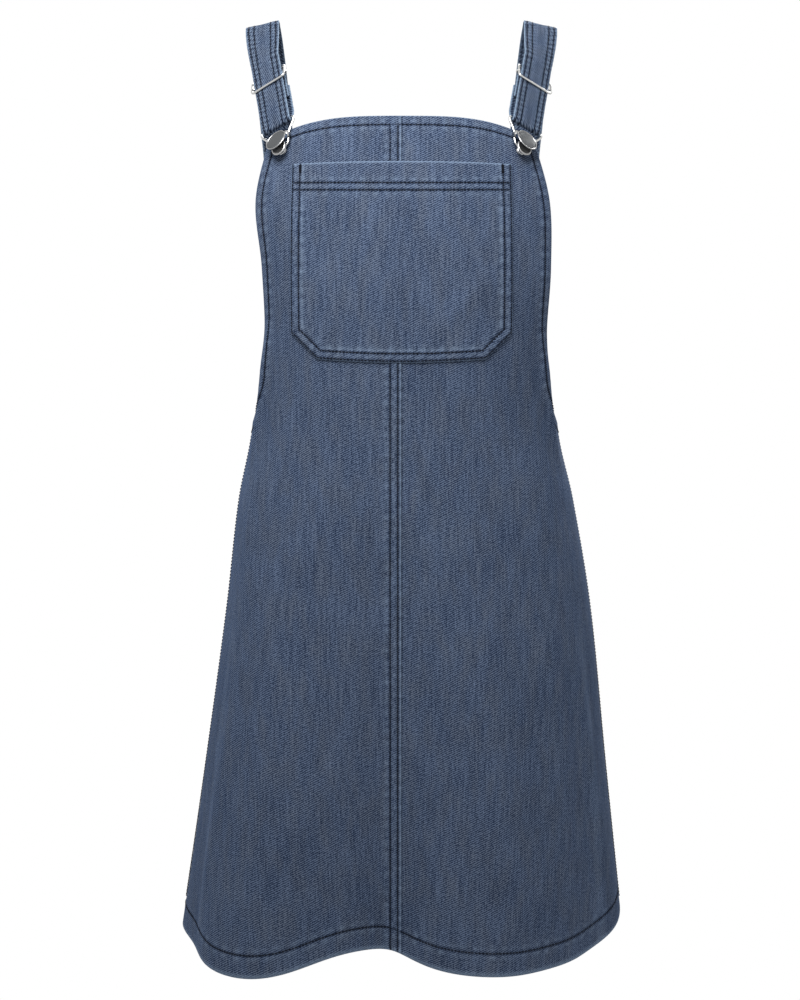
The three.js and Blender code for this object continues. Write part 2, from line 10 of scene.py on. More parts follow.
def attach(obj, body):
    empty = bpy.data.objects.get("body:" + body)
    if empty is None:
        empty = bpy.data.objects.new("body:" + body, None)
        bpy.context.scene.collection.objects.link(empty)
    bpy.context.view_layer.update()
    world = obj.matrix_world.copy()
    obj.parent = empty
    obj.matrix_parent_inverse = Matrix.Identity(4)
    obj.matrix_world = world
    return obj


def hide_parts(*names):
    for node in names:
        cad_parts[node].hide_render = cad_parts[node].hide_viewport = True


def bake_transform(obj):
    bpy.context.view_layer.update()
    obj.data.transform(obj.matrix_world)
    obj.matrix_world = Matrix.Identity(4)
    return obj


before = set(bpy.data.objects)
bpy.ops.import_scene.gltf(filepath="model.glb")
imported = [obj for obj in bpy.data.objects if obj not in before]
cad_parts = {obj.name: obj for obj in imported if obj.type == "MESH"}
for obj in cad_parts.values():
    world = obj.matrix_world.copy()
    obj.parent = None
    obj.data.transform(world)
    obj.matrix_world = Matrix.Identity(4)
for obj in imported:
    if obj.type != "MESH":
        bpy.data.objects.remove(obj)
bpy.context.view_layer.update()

MM = 0.001  # shapes are worked out in millimetres and stored in metres
TURN = 2 * math.pi
SIDES = ("right", "left")

# ---- dimensions of the cloth, in mm and degrees -------------------------------------------------
CLOTH = 1.2
AXIS_Y = -12.0
HEM_Z = -925.0
ARMHOLE_Z = -412.0
BIB_MIDDLE, BIB_CORNER = -108.0, -129.0
BACK_MIDDLE, BACK_CORNER = -198.0, -190.0
# Height, half width, depth in front and behind, squareness in front and behind, lean to the left.
STATIONS = np.array([
    (-100, 158, 106, 84, 2.3, 2.6, 0),
    (-130, 169, 117, 92, 2.3, 2.6, 0),
    (-190, 182, 132, 98, 2.35, 2.6, 1.5),
    (-255, 174, 139, 97, 2.4, 2.6, 6.7),
    (-325, 161, 140, 96, 2.4, 2.5, 5.6),
    (-412, 158, 138, 100, 2.3, 2.4, 3.6),
    (-490, 173, 140, 112, 2.3, 2.4, 4.5),
    (-600, 188, 142, 124, 2.4, 2.4, 7.2),
    (-760, 207, 145, 133, 2.5, 2.4, 4),
    (-950, 230, 148, 140, 2.5, 2.4, 0),
], float)
# Folds and droop of the hem: place round the body in degrees, spread, size.
FOLDS = [(-47, 17, 16), (-5, 13, -24), (28, 16, 20), (67, 10, -9), (-75, 10, -8), (98, 14, 4), (-100, 14, 4),
         (122, 11, -6), (-124, 11, -6), (150, 14, 12), (-152, 14, 12), (180, 13, -12)]
FOLD_TOP = -400.0
HEM_DROPS = [(-98, 26, -10), (-62, 18, -22), (-42, 16, -22), (-12, 20, -2), (14, 18, -15), (38, 20, -20),
             (62, 18, -14), (96, 18, 18), (130, 28, 1), (180, 34, -7), (-140, 28, -3)]
ARMHOLE = [(58.5, BIB_CORNER), (58.5, -185), (57.5, -255), (60, -325), (65, -376), (76, -404), (90, ARMHOLE_Z),
           (104, -404), (115, -376), (122, -325), (124.5, -255), (125.5, BACK_CORNER)]
ANGLE_SCALE = 2.4  # mm of armhole outline per degree
CREASE_RADIUS = 165  # mm, for the creases' places in degrees

# Long soft folds of the cloth: start and end as (degrees, height), half width in mm, height in mm.
CREASES = [
    ((-57, -320), (-72, -450), 8, 5.0),
    ((57, -330), (73, -450), 8, 5.0),
    ((-62, -660), (-70, -915), 10, 3.0),
    ((66, -640), (75, -880), 10, 3.0),
    ((-24, -745), (-44, -860), 16, 2.6),
    ((30, -560), (36, -800), 22, 2.0),
    ((34, -262), (8, -338), 10, 1.6),
    ((-70, -470), (-58, -620), 18, 2.0),
    ((110, -440), (128, -600), 14, 2.6),
    ((-112, -440), (-130, -620), 14, 2.6),
    ((150, -560), (160, -860), 18, 2.4),
    ((-148, -520), (-160, -840), 18, 2.4),
    ((176, -300), (150, -420), 14, 1.8),
    ((-172, -330), (-146, -450), 14, 1.8),
]

rng = np.random.default_rng(7)
WAVES = [(rng.uniform(0.4, 1.0), rng.uniform(0, TURN), rng.uniform(2, 7), rng.uniform(-1, 1) * 0.012)
         for _ in range(9)]


# ---- the cloth's surface ------------------------------------------------------------------------
def station(z):
    """Smooth values of the stations at heights z."""
    heights, values = STATIONS[:, 0], STATIONS[:, 1:]
    slope = np.empty_like(values)
    slope[1:-1] = (values[2:] - values[:-2]) / (heights[2:] - heights[:-2])[:, None]
    slope[0] = (values[1] - values[0]) / (heights[1] - heights[0])
    slope[-1] = (values[-1] - values[-2]) / (heights[-1] - heights[-2])
    flat = z.ravel()
    i = (heights[None, 1:-1] > flat[:, None]).sum(1)
    h = heights[i + 1] - heights[i]
    t = np.clip((flat - heights[i]) / h, 0, 1)[:, None]
    h = h[:, None]
    out = ((2 * t**3 - 3 * t**2 + 1) * values[i] + (t**3 - 2 * t**2 + t) * h * slope[i]
           + (3 * t**2 - 2 * t**3) * values[i + 1] + (t**3 - t**2) * h * slope[i + 1])
    return out.reshape(z.shape + (6,))


def bumps(rows, degrees):
    total = np.zeros_like(degrees)
    for at, spread, size in rows:
        away = (degrees - at + 180) % 360 - 180
        total += size * np.exp(-((away / spread) ** 2))
    return total


def relief(degrees, z):
    """Soft wrinkles of the hanging cloth, in mm out of the surface."""
    total = np.zeros_like(degrees)
    for (a0, z0), (a1, z1), width, size in CREASES:
        x0, x1 = math.radians(a0) * CREASE_RADIUS, math.radians(a1) * CREASE_RADIUS
        x = np.radians((degrees - a0 + 180) % 360 - 180) * CREASE_RADIUS + x0
        d = np.array([x1 - x0, z1 - z0])
        t = ((x - x0) * d[0] + (z - z0) * d[1]) / (d @ d)
        across = np.abs((x - x0) * d[1] - (z - z0) * d[0]) / math.hypot(*d)
        along = np.clip(np.minimum(t + 0.15, 1.15 - t) / 0.45, 0, 1)
        total += size * np.exp(-((across / width) ** 2)) * along**2 * (3 - 2 * along)
    low = np.clip((-330 - z) / 300, 0.12, 1)
    for size, phase, turns, lean in WAVES:
        total += 0.55 * size * low * np.sin(np.radians(degrees) * round(turns) * 2 + phase + lean * z)
    return total


def base_surface(degrees, z):
    s, c = np.sin(np.radians(degrees)), np.cos(np.radians(degrees))
    width, front, back, square_f, square_b, lean = np.moveaxis(station(z), -1, 0)
    depth, square = np.where(c > 0, front, back), np.where(c > 0, square_f, square_b)
    r = ((np.abs(s) / width) ** square + (np.abs(c) / depth) ** square) ** (-1 / square)
    fade = np.clip((FOLD_TOP - z) / (FOLD_TOP - HEM_Z), 0, 1.1) ** 1.2
    r = r + fade * bumps(FOLDS, degrees) + relief(degrees, z)
    return np.stack([r * s + lean * np.abs(s) ** np.where(c > 0, 2, 16), AXIS_Y - r * c, z], -1)


def slopes(degrees, z):
    around = (base_surface(degrees + 0.2, z) - base_surface(degrees - 0.2, z)) * 2.5
    up = (base_surface(degrees, z + 1) - base_surface(degrees, z - 1)) / 2
    return around, up


def unit(v):
    return v / np.linalg.norm(v, axis=-1, keepdims=True)


def normals_at(degrees, z):
    return unit(np.cross(*slopes(degrees, z)))


def surface(degrees, z, lift=0.0):
    """Points on the cloth at angles in degrees from the centre front, lifted off it."""
    degrees, z = np.broadcast_arrays(np.asarray(degrees, float), np.asarray(z, float))
    lift = np.asarray(lift, float)
    return base_surface(degrees, z) + normals_at(degrees, z) * lift[..., None]


def angle_at_x(x, z):
    """The angle on the front at which the surface reaches x."""
    x, z = np.broadcast_arrays(np.asarray(x, float), np.asarray(z, float))
    low, high = np.full(x.shape, -89.0), np.full(x.shape, 89.0)
    for _ in range(30):
        middle = (low + high) / 2
        less = base_surface(middle, z)[..., 0] < x
        low, high = np.where(less, middle, low), np.where(less, high, middle)
    return (low + high) / 2


def spline(points, count, closed=False):
    """A centripetal curve through points, sampled evenly by length."""
    p = np.asarray(points, float)
    if closed:
        p = np.vstack([p[-1], p, p[0], p[1]])
    else:
        p = np.vstack([2 * p[0] - p[1], p, 2 * p[-1] - p[-2]])
    out = []
    for a, b, c, d in zip(p[:-3], p[1:-2], p[2:-1], p[3:]):
        t1 = max(np.linalg.norm(b - a) ** 0.5, 1e-6)
        t2 = t1 + max(np.linalg.norm(c - b) ** 0.5, 1e-6)
        t3 = t2 + max(np.linalg.norm(d - c) ** 0.5, 1e-6)
        t = np.linspace(t1, t2, 24, endpoint=False)[:, None]
        a1 = (t1 - t) / t1 * a + t / t1 * b
        a2 = (t2 - t) / (t2 - t1) * b + (t - t1) / (t2 - t1) * c
        a3 = (t3 - t) / (t3 - t2) * c + (t - t2) / (t3 - t2) * d
        b1, b2 = (t2 - t) / t2 * a1 + t / t2 * a2, (t3 - t) / (t3 - t1) * a2 + (t - t1) / (t3 - t1) * a3
        out.append((t2 - t) / (t2 - t1) * b1 + (t - t1) / (t2 - t1) * b2)
    out = np.vstack(out + [p[1][None] if closed else p[-2][None]])
    return resample(out, count)


def length_of(points):
    return np.linalg.norm(np.diff(points, axis=0), axis=1).sum()


def distances(points):
    """How far along a path each of its points lies."""
    return np.concatenate([[0], np.cumsum(np.linalg.norm(np.diff(points, axis=0), axis=1))])


def resample(points, count=None, step=None):
    lengths = distances(points)
    if count is None:
        count = max(2, int(round(lengths[-1] / step)) + 1)
    at = np.linspace(0, lengths[-1], count)
    return np.stack([np.interp(at, lengths, points[:, k]) for k in range(points.shape[1])], 1)


ARMHOLE_LINE = spline([(a * ANGLE_SCALE, z) for a, z in ARMHOLE], 600) / np.array([ANGLE_SCALE, 1])


def armhole(t):
    place = np.clip(t, 0, 1) * (len(ARMHOLE_LINE) - 1)
    index = np.arange(len(ARMHOLE_LINE))
    return np.interp(place, index, ARMHOLE_LINE[:, 0]), np.interp(place, index, ARMHOLE_LINE[:, 1])


UNDERARM = np.interp(90, ARMHOLE_LINE[:, 0], np.linspace(0, 1, len(ARMHOLE_LINE)))


def hem_height(degrees):
    return HEM_Z + bumps(HEM_DROPS, np.asarray(degrees, float))


def top_height(u, front):
    """Height of the top edge at a share u of the way from the centre to the corner."""
    middle, corner, bend = (BIB_MIDDLE, BIB_CORNER, 4.2) if front else (BACK_MIDDLE, BACK_CORNER, 2)
    return middle + (corner - middle) * u**bend


def step_across(degrees, z, distance):
    """Moves a path of (degrees, z) sideways over the surface by a distance in mm."""
    around, up = slopes(degrees, z)
    da, dz = np.gradient(degrees), np.gradient(z)
    along = around * da[:, None] + up * dz[:, None]
    side = unit(np.cross(np.cross(around, up), along)) * distance
    rr, uu, ru = (around * around).sum(1), (up * up).sum(1), (around * up).sum(1)
    a, b = (side * around).sum(1), (side * up).sum(1)
    det = rr * uu - ru * ru
    return degrees + (a * uu - b * ru) / det, z + (b * rr - a * ru) / det


# ---- mesh building ------------------------------------------------------------------------------
def add_object(name, data, place=(0, 0, 0)):
    thing = bpy.data.objects.new(name, data)
    thing.location = place
    bpy.context.collection.objects.link(thing)
    return thing


def mesh_piece(name, points, faces, uv, material, slot, body="root", wear_and_painted_light=None, replaces=()):
    """A visible piece from points in mm; with no body, it is left unattached."""
    mesh = bpy.data.meshes.new(name)
    mesh.from_pydata((np.asarray(points) * MM).tolist(), [], faces)
    layer = mesh.uv_layers.new(name="UVMap")
    loops = np.empty(len(mesh.loops), int)
    mesh.loops.foreach_get("vertex_index", loops)
    layer.data.foreach_set("uv", (np.asarray(uv)[loops] * MM).ravel())
    # Per point: below zero painted shade, above zero real wear and painted highlight.
    values = np.zeros(len(points)) if wear_and_painted_light is None else np.asarray(wear_and_painted_light).ravel()
    mesh.attributes.new("wear_and_painted_light", "FLOAT", "POINT").data.foreach_set("value", values.astype(np.float32))
    mesh.polygons.foreach_set("use_smooth", [len(face) <= 4 for face in faces])
    mesh.materials.append(material)
    mesh.update()
    piece = add_object(name, mesh)
    if body:
        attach(piece, body)
    if replaces:
        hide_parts(*replaces)
    return piece


def grid_faces(rows, columns, start=0, flip=False, wrap=False, loop=False):
    """Quads of a grid of points; wrap joins its last column to the first, and loop its last row."""
    i, j = np.arange(rows if loop else rows - 1), np.arange(columns if wrap else columns - 1)
    i, j = np.meshgrid(i, j, indexing="ij")
    k, n = (j + 1) % columns, (i + 1) % rows
    quads = np.stack([i * columns + j, i * columns + k, n * columns + k, n * columns + j], -1)
    quads = quads.reshape(-1, 4) + start
    return (quads[:, ::-1] if flip else quads).tolist()


def shell(name, outer, inner, uv, material, wear_and_painted_light=None, flip=False, **options):
    """A closed piece of cloth between two grids of points."""
    rows, columns = outer.shape[:2]
    count = rows * columns
    points = np.vstack([outer.reshape(-1, 3), inner.reshape(-1, 3)])
    faces = grid_faces(rows, columns, flip=flip) + grid_faces(rows, columns, count, flip=not flip)
    edge = list(range(columns)) + [i * columns + columns - 1 for i in range(1, rows)]
    edge += [(rows - 1) * columns + j for j in range(columns - 2, -1, -1)]
    edge += [i * columns for i in range(rows - 2, 0, -1)]
    for a, b in zip(edge, edge[1:] + edge[:1]):
        quad = [b, a, a + count, b + count]
        faces.append(quad[::-1] if flip else quad)
    wear_and_painted_light = np.zeros(count) if wear_and_painted_light is None else wear_and_painted_light.ravel()
    coordinates = np.vstack([uv.reshape(-1, 2)] * 2)
    return mesh_piece(name, points, faces, coordinates, material, wear_and_painted_light=np.concatenate([wear_and_painted_light, wear_and_painted_light]), **options)


def sweep(points, sides, out, profile, closed=False):
    """Rings of a profile of (across, outward) points along a path, as (vertices, faces, uv)."""
    profile = np.asarray(profile, float)
    ring = points[:, None] + sides[:, None] * profile[None, :, :1] + out[:, None] * profile[None, :, 1:]
    rows, columns = ring.shape[:2]
    faces = grid_faces(rows, columns, wrap=True, loop=closed)
    if not closed:
        faces += [list(range(columns))[::-1], [(rows - 1) * columns + j for j in range(columns)]]
    around, length = distances(profile)[None], distances(points)[:, None]
    uv = np.stack(np.broadcast_arrays(around, length), -1).reshape(-1, 2)
    return ring.reshape(-1, 3), faces, uv


def transported(points, closed=False):
    """Sideways and outward directions along a path, turning as little as possible."""
    if closed:
        tangents = unit(np.roll(points, -1, 0) - np.roll(points, 1, 0))
    else:
        tangents = unit(np.gradient(points, axis=0))
    side = np.cross((0.13, 0.21, 0.97), tangents[0])
    sides = []
    for tangent in tangents:
        side = side - tangent * (side @ tangent)
        side = side / np.linalg.norm(side)
        sides.append(side)
    sides = np.array(sides)
    return sides, np.cross(tangents, sides)


def circle(radius, count=14):
    a = np.linspace(0, TURN, count, endpoint=False)
    return np.stack([radius * np.cos(a), radius * np.sin(a)], 1)


def merge(parts):
    """Joins (vertices, faces, uv) triples into one."""
    vertices, faces, uv, start = [], [], [], 0
    for v, f, t in parts:
        vertices.append(v)
        faces += [[k + start for k in face] for face in f]
        uv.append(t)
        start += len(v)
    return np.vstack(vertices), faces, np.vstack(uv)


def lathe(profile, count=48):
    """A turned solid about the outward axis from (radius, height) points that start and end on it."""
    a = np.linspace(0, TURN, count, endpoint=False)
    ring = np.array([[(r * math.cos(t), r * math.sin(t), n) for t in a] for r, n in profile[1:-1]])
    last = (len(ring) - 1) * count
    vertices = np.vstack([ring.reshape(-1, 3), [(0, 0, profile[0][1]), (0, 0, profile[-1][1])]])
    faces = grid_faces(len(ring), count, wrap=True)
    low, high = last + count, last + count + 1
    for j in range(count):
        k = (j + 1) % count
        faces += [[low, k, j], [high, last + j, last + k]]
    return vertices, faces, vertices[:, :2]


# ---- stitching ----------------------------------------------------------------------------------
STITCH, GAP_BETWEEN, THREAD = 3.0, 0.45, 0.5
ROWS = {}  # rows of stitches by layer: (points, normals)


def add_row(layer, points, normals):
    ROWS.setdefault(layer, []).append((np.asarray(points), np.asarray(normals)))


def surface_row(layer, degrees, z, lift=0.0):
    add_row(layer, surface(degrees, z, lift), normals_at(degrees, z))


def stitches(name, layer, slot, **options):
    """All the stitches of a layer's rows as one piece."""
    ring = circle(THREAD, 6)
    stations = np.array([0, 0.14, 0.5, 0.86, 1])
    girth = np.array([0.35, 0.9, 1, 0.9, 0.35])
    height = np.array([-0.35, 0.08, 0.26, 0.08, -0.35])
    paths = []
    for points, normals in ROWS[layer]:
        count = max(1, int(length_of(points) / (STITCH + GAP_BETWEEN)))
        fine = resample(np.hstack([points, normals]), count * 20 + 1)
        index = np.arange(len(fine))
        for k in range(count):
            at = k * 20 + 1.8 + stations * 16.4
            paths.append(np.stack([np.interp(at, index, fine[:, c]) for c in range(6)], 1))
    paths = np.array(paths)
    points, normals = paths[..., :3], unit(paths[..., 3:])
    side = np.cross(unit(points[:, -1:] - points[:, :1]), normals)
    points = points + normals * height[None, :, None]
    girth = girth[None, :, None, None]
    rings = (points[:, :, None] + side[:, :, None] * (ring[None, None, :, :1] * girth)
             + normals[:, :, None] * (ring[None, None, :, 1:] * girth))
    template = grid_faces(5, 6, wrap=True) + [[5, 4, 3, 2, 1, 0], [24, 25, 26, 27, 28, 29]]
    faces = [[v + 30 * k for v in face] for k in range(len(rings)) for face in template]
    uv = np.stack(np.broadcast_arrays(np.arange(6)[None] * 0.3, stations[:, None] * STITCH), -1)
    uv = np.tile(uv.reshape(-1, 2), (len(rings), 1))
    return mesh_piece(name, rings.reshape(-1, 3), faces, uv, NAVY_THREAD, slot, **options)


def seam_effect(points, normals, layers, depth=0.35, reach=1.15, pucker=0.4):
    """Sinks a grid under its stitch rows, puckers it beside them, and gives each point a value of wear and painted
    light: painted shade along the sunk rows, paler wear on the puckers beside them.
    """
    rows = [row for layer in layers for row in ROWS.get(layer, [])]
    samples, along = [], []
    for line, _ in rows:
        fine = resample(line, step=1.0)
        samples.append(fine)
        along.append(np.arange(len(fine), dtype=float) + 37 * len(along))
    samples, along = np.vstack(samples), np.concatenate(along)
    tree = KDTree(len(samples))
    for k, p in enumerate(samples):
        tree.insert(p, k)
    tree.balance()
    flat = points.reshape(-1, 3)
    lift, wear_and_painted_light = np.zeros(len(flat)), np.zeros(len(flat))
    for k, p in enumerate(flat):
        _, index, distance = tree.find(p)
        if distance > 14:
            continue
        wave = math.sin(along[index] * 0.62) + 0.6 * math.sin(along[index] * 0.39 + 1.3)
        near = math.exp(-((distance / reach) ** 2))
        beside = math.exp(-(((distance - 3.6) / 2.6) ** 2))
        lift[k] = -depth * near + pucker * 0.5 * wave * math.exp(-((distance / 6) ** 2))
        # Painted shade: the cloth is darkened along each sunk row; the puckers beside it get paler wear.
        wear_and_painted_light[k] = -0.85 * near + beside * (0.10 + 0.14 * wave)
    shape = points.shape[:-1]
    lift, wear_and_painted_light = lift.reshape(shape), wear_and_painted_light.reshape(shape)
    return points + normals * lift[..., None], wear_and_painted_light


# ---- materials ----------------------------------------------------------------------------------
class Graph:
    """A Principled material being built from nodes over the piece's UV map."""

    def __init__(self, name):
        self.material = bpy.data.materials.new(name)
        self.material.use_nodes = True
        self.nodes, self.links = self.material.node_tree.nodes, self.material.node_tree.links
        self.shader = self.nodes["Principled BSDF"]

    def fill(self, socket, value):
        if hasattr(value, "is_output"):
            self.links.new(value, socket)
        else:
            socket.default_value = value

    def put(self, node, **inputs):
        """Fills a node's inputs, with _ for the spaces of their names."""
        for name, value in inputs.items():
            self.fill(node.inputs[name.replace("_", " ")], value)
        return node

    def uv(self):
        node = self.nodes.new("ShaderNodeUVMap")
        node.uv_map = "UVMap"
        return node.outputs["UV"]

    def math(self, operation, *values, clamp=False):
        node = self.nodes.new("ShaderNodeMath")
        node.operation, node.use_clamp = operation, clamp
        for socket, value in zip(node.inputs, values):
            self.fill(socket, value)
        return node.outputs[0]

    def add(self, a, b, clamp=False):
        return self.math("ADD", a, b, clamp=clamp)

    def less(self, a, b):
        return self.math("SUBTRACT", a, b)

    def times(self, a, b, clamp=False):
        return self.math("MULTIPLY", a, b, clamp=clamp)

    def noise(self, vector, scale, detail=2.0, roughness=0.5):
        """Noise with its own scale along each axis, in waves per metre."""
        mapping = self.put(self.nodes.new("ShaderNodeMapping"), Scale=scale, Vector=vector)
        return self.put(self.nodes.new("ShaderNodeTexNoise"), Scale=1.0, Detail=detail, Roughness=roughness,
                        Vector=mapping.outputs["Vector"]).outputs["Fac"]

    def mix(self, factor, a, b):
        node = self.nodes.new("ShaderNodeMix")
        node.data_type = "RGBA"
        return self.put(node, Factor=factor, A=a, B=b).outputs["Result"]

    def bump(self, height, strength, distance):
        node = self.put(self.nodes.new("ShaderNodeBump"), Height=height, Strength=strength, Distance=distance)
        self.put(self.shader, Normal=node.outputs["Normal"])


def scaled(colour, factor):
    """A colour made lighter or darker, with its alpha."""
    return (*(min(1, c * factor) for c in colour), 1)


TWILL = (230, 460)  # twill lines to a metre across and up the warp
YARN = 0.0007  # metres


def denim(name, dark, light, wear_and_highlight_colour, contrast=1.0, lines=TWILL):
    """Twill of indigo warp and pale weft: diagonal lines, slubs along the warp, blotches, wear, and painted light:
    the per-point attribute darkens the cloth as painted shade below zero, and lightens it above zero for wear and
    painted highlight.
    """
    g = Graph(name)
    uv = g.uv()
    split = g.put(g.nodes.new("ShaderNodeSeparateXYZ"), Vector=uv)
    x, y = split.outputs["X"], split.outputs["Y"]
    diagonal = g.less(g.times(x, TURN * lines[0]), g.times(y, TURN * lines[1]))
    twill = g.math("SINE", g.add(diagonal, g.times(g.noise(uv, (260, 90, 1), 2), 4.0)))
    weave = g.times(*(g.math("SINE", g.times(way, TURN / YARN)) for way in (x, y)))
    slub = g.noise(uv, (560, 26, 1), 3, 0.6)
    fleck = g.noise(uv, (640, 430, 1), 2, 0.7)
    blotch = g.noise(uv, (26, 14, 1), 3)
    pale = g.add(0.44, g.times(twill, 0.58 * contrast))
    pale = g.add(pale, g.times(weave, 0.08 * contrast))
    pale = g.add(pale, g.times(g.less(slub, 0.5), 1.65 * contrast))
    pale = g.add(pale, g.times(g.less(fleck, 0.5), 2.8 * contrast))
    pale = g.add(pale, g.times(g.less(blotch, 0.5), 0.4), clamp=True)
    tint = g.times(g.less(g.noise(uv, (70, 26, 1), 2), 0.4), 4.0, clamp=True)
    weft = g.mix(tint, (*light, 1), (light[0] * 1.08, light[1], light[2] * 0.90, 1))
    wear_and_painted_light = g.nodes.new("ShaderNodeAttribute")
    wear_and_painted_light.attribute_name = "wear_and_painted_light"
    wear_and_painted_light = wear_and_painted_light.outputs["Fac"]
    # Above zero the attribute is real wear and, on the skirt's side folds, a painted highlight: both lighten towards
    # the pale worn colour.
    wear_and_highlight = g.math("MINIMUM", g.times(g.math("MAXIMUM", wear_and_painted_light, 0.0), g.add(0.45, fleck)), 0.85)
    # Below zero the attribute is painted shade: the cloth goes darker along sunk stitch rows, under the lapped centre
    # seam and behind the skirt's side folds.
    painted_shade = g.math("MINIMUM", g.math("MAXIMUM", g.times(wear_and_painted_light, -1.0), 0.0), 0.9)
    colour = g.mix(painted_shade, g.mix(wear_and_highlight, g.mix(pale, (*dark, 1), weft), (*wear_and_highlight_colour, 1)), scaled(dark, 0.35))
    g.put(g.shader, Base_Color=colour, Roughness=g.less(0.98, g.times(pale, 0.16)), Sheen_Weight=0.04,
          Sheen_Tint=(0.15, 0.4, 1.0, 1), Sheen_Roughness=0.5, Specular_Tint=(0.5, 0.7, 1.0, 1),
          Specular_IOR_Level=0.1)
    g.bump(g.add(g.add(g.times(twill, 0.3), g.times(slub, 1.1)), g.times(weave, 0.15)), 0.55, 0.00035)
    return g.material


def thread(name, colour):
    g = Graph(name)
    strands = g.put(g.nodes.new("ShaderNodeTexWave"), Scale=700, Vector=g.uv())
    strands.bands_direction = "DIAGONAL"
    g.put(g.shader, Base_Color=g.mix(strands.outputs["Fac"], scaled(colour, 0.6), scaled(colour, 1.5)),
          Roughness=0.8, Specular_IOR_Level=0.1)
    return g.material


def metal(name, colour, roughness, brushed=0.0):
    g = Graph(name)
    grain = g.noise(g.uv(), (9000, 500, 1), 3, 0.6)
    dim, bright = scaled(colour, 1 - 0.35 * brushed), scaled(colour, 1 + 0.25 * brushed)
    g.put(g.shader, Base_Color=g.mix(grain, dim, bright),
          Metallic=1.0, Roughness=g.add(roughness, g.times(grain, 0.08 + 0.22 * brushed)))
    g.bump(grain, 0.05 + 0.3 * brushed, 0.00005)
    return g.material


DENIM = denim("denim", (0.0052, 0.0096, 0.0235), (0.061, 0.081, 0.124), (0.12, 0.16, 0.22))
STRAP_DENIM = denim("denim_strap", (0.005, 0.009, 0.021), (0.058, 0.076, 0.112), (0.11, 0.15, 0.20), 1.3,
                    (270, 290))
INSIDE_DENIM = denim("denim_inside", (0.05, 0.065, 0.095), (0.22, 0.25, 0.30), (0.3, 0.33, 0.38), 0.8)
NAVY_THREAD = thread("thread_navy", (0.0018, 0.0026, 0.006))
WIRE_METAL = metal("polished_wire", (0.56, 0.56, 0.55), 0.16)
CAP_METAL = metal("brushed_cap", (0.105, 0.11, 0.115), 0.30, 1.0)
RIM_METAL = metal("cap_rim", (0.34, 0.34, 0.34), 0.2)
BUTTON_METAL = metal("button_metal", (0.36, 0.36, 0.36), 0.25, 0.4)


# ---- the seams and hems: where the stitch rows run ----------------------------------------------
EDGE_ROW = 8.5  # from a turned edge to its row
HEM_ROW = 22.0
SEAM_ROWS = (-3.6, -11.2)  # from the centre seam, on the wearer's right
SIDE_ROWS = (2.5, 9.5)  # behind each side seam
POCKET_TOP, POCKET_BOTTOM, POCKET_CORNER = -155.0, -347.0, -321.0
POCKET_BAND = (21.5, 28.5)  # rows under the pocket's top edge
POCKET_ROWS = (1.8, 9.0)  # rows inside the pocket's sides


def inward(degrees, heights):
    """1 or -1, by which way step_across moves an armhole's line down into the cloth."""
    middle = len(heights) // 2
    return 1.0 if step_across(degrees, heights, -1.0)[1][middle] > heights[middle] else -1.0


def seam_height_range(front):
    return (BIB_MIDDLE if front else BACK_MIDDLE) - EDGE_ROW, float(hem_height(0.0 if front else 180.0)) + 2


def lay_panel_rows():
    for front, layer in ((True, "front"), (False, "back")):
        top_z, low_z = seam_height_range(front)
        z = np.arange(low_z, top_z, 4.0)
        for offset in SEAM_ROWS:
            if front:
                degrees = angle_at_x(offset, z)
            else:
                radius = np.linalg.norm(surface(180, z)[:, :2] - (0, AXIS_Y), axis=1)
                degrees = 180 - np.degrees(offset / radius)
            surface_row(layer, degrees, z, 0.5)
    turn = np.linspace(-0.985, 0.985, 150)
    surface_row("front", turn * armhole(0.0)[0], top_height(np.abs(turn), True) - EDGE_ROW)
    surface_row("back", 180 + turn * (180 - armhole(1.0)[0]), top_height(np.abs(turn), False) - EDGE_ROW)
    degrees, heights = armhole(np.linspace(0.012, 0.988, 400))
    inner_degrees, inner_z = step_across(degrees, heights, inward(degrees, heights) * EDGE_ROW)
    for side in (-1, 1):
        surface_row("front", side * inner_degrees, inner_z)
        z = np.arange(float(hem_height(90.0)) + 3, ARMHOLE_Z - EDGE_ROW, 4.0)
        for offset in SIDE_ROWS:
            surface_row("back", side * (90 + np.degrees(offset / surface(90, z)[:, 0])), z, 0.4)
    around = np.linspace(-180, 180, 900)
    surface_row("hem", around, hem_height(around) + HEM_ROW)


lay_panel_rows()


# ---- panels -------------------------------------------------------------------------------------
def spread(length, fine_start, fine_end, step_fine, step):
    """Shares from 0 to 1 of a length, with fine steps near each end."""
    marks = np.concatenate([
        np.arange(0, fine_start, step_fine),
        np.linspace(fine_start, length - fine_end, max(2, int((length - fine_start - fine_end) / step))),
        length - np.arange(0, fine_end, step_fine)[::-1],
    ])
    return np.unique(np.round(marks / length, 6))


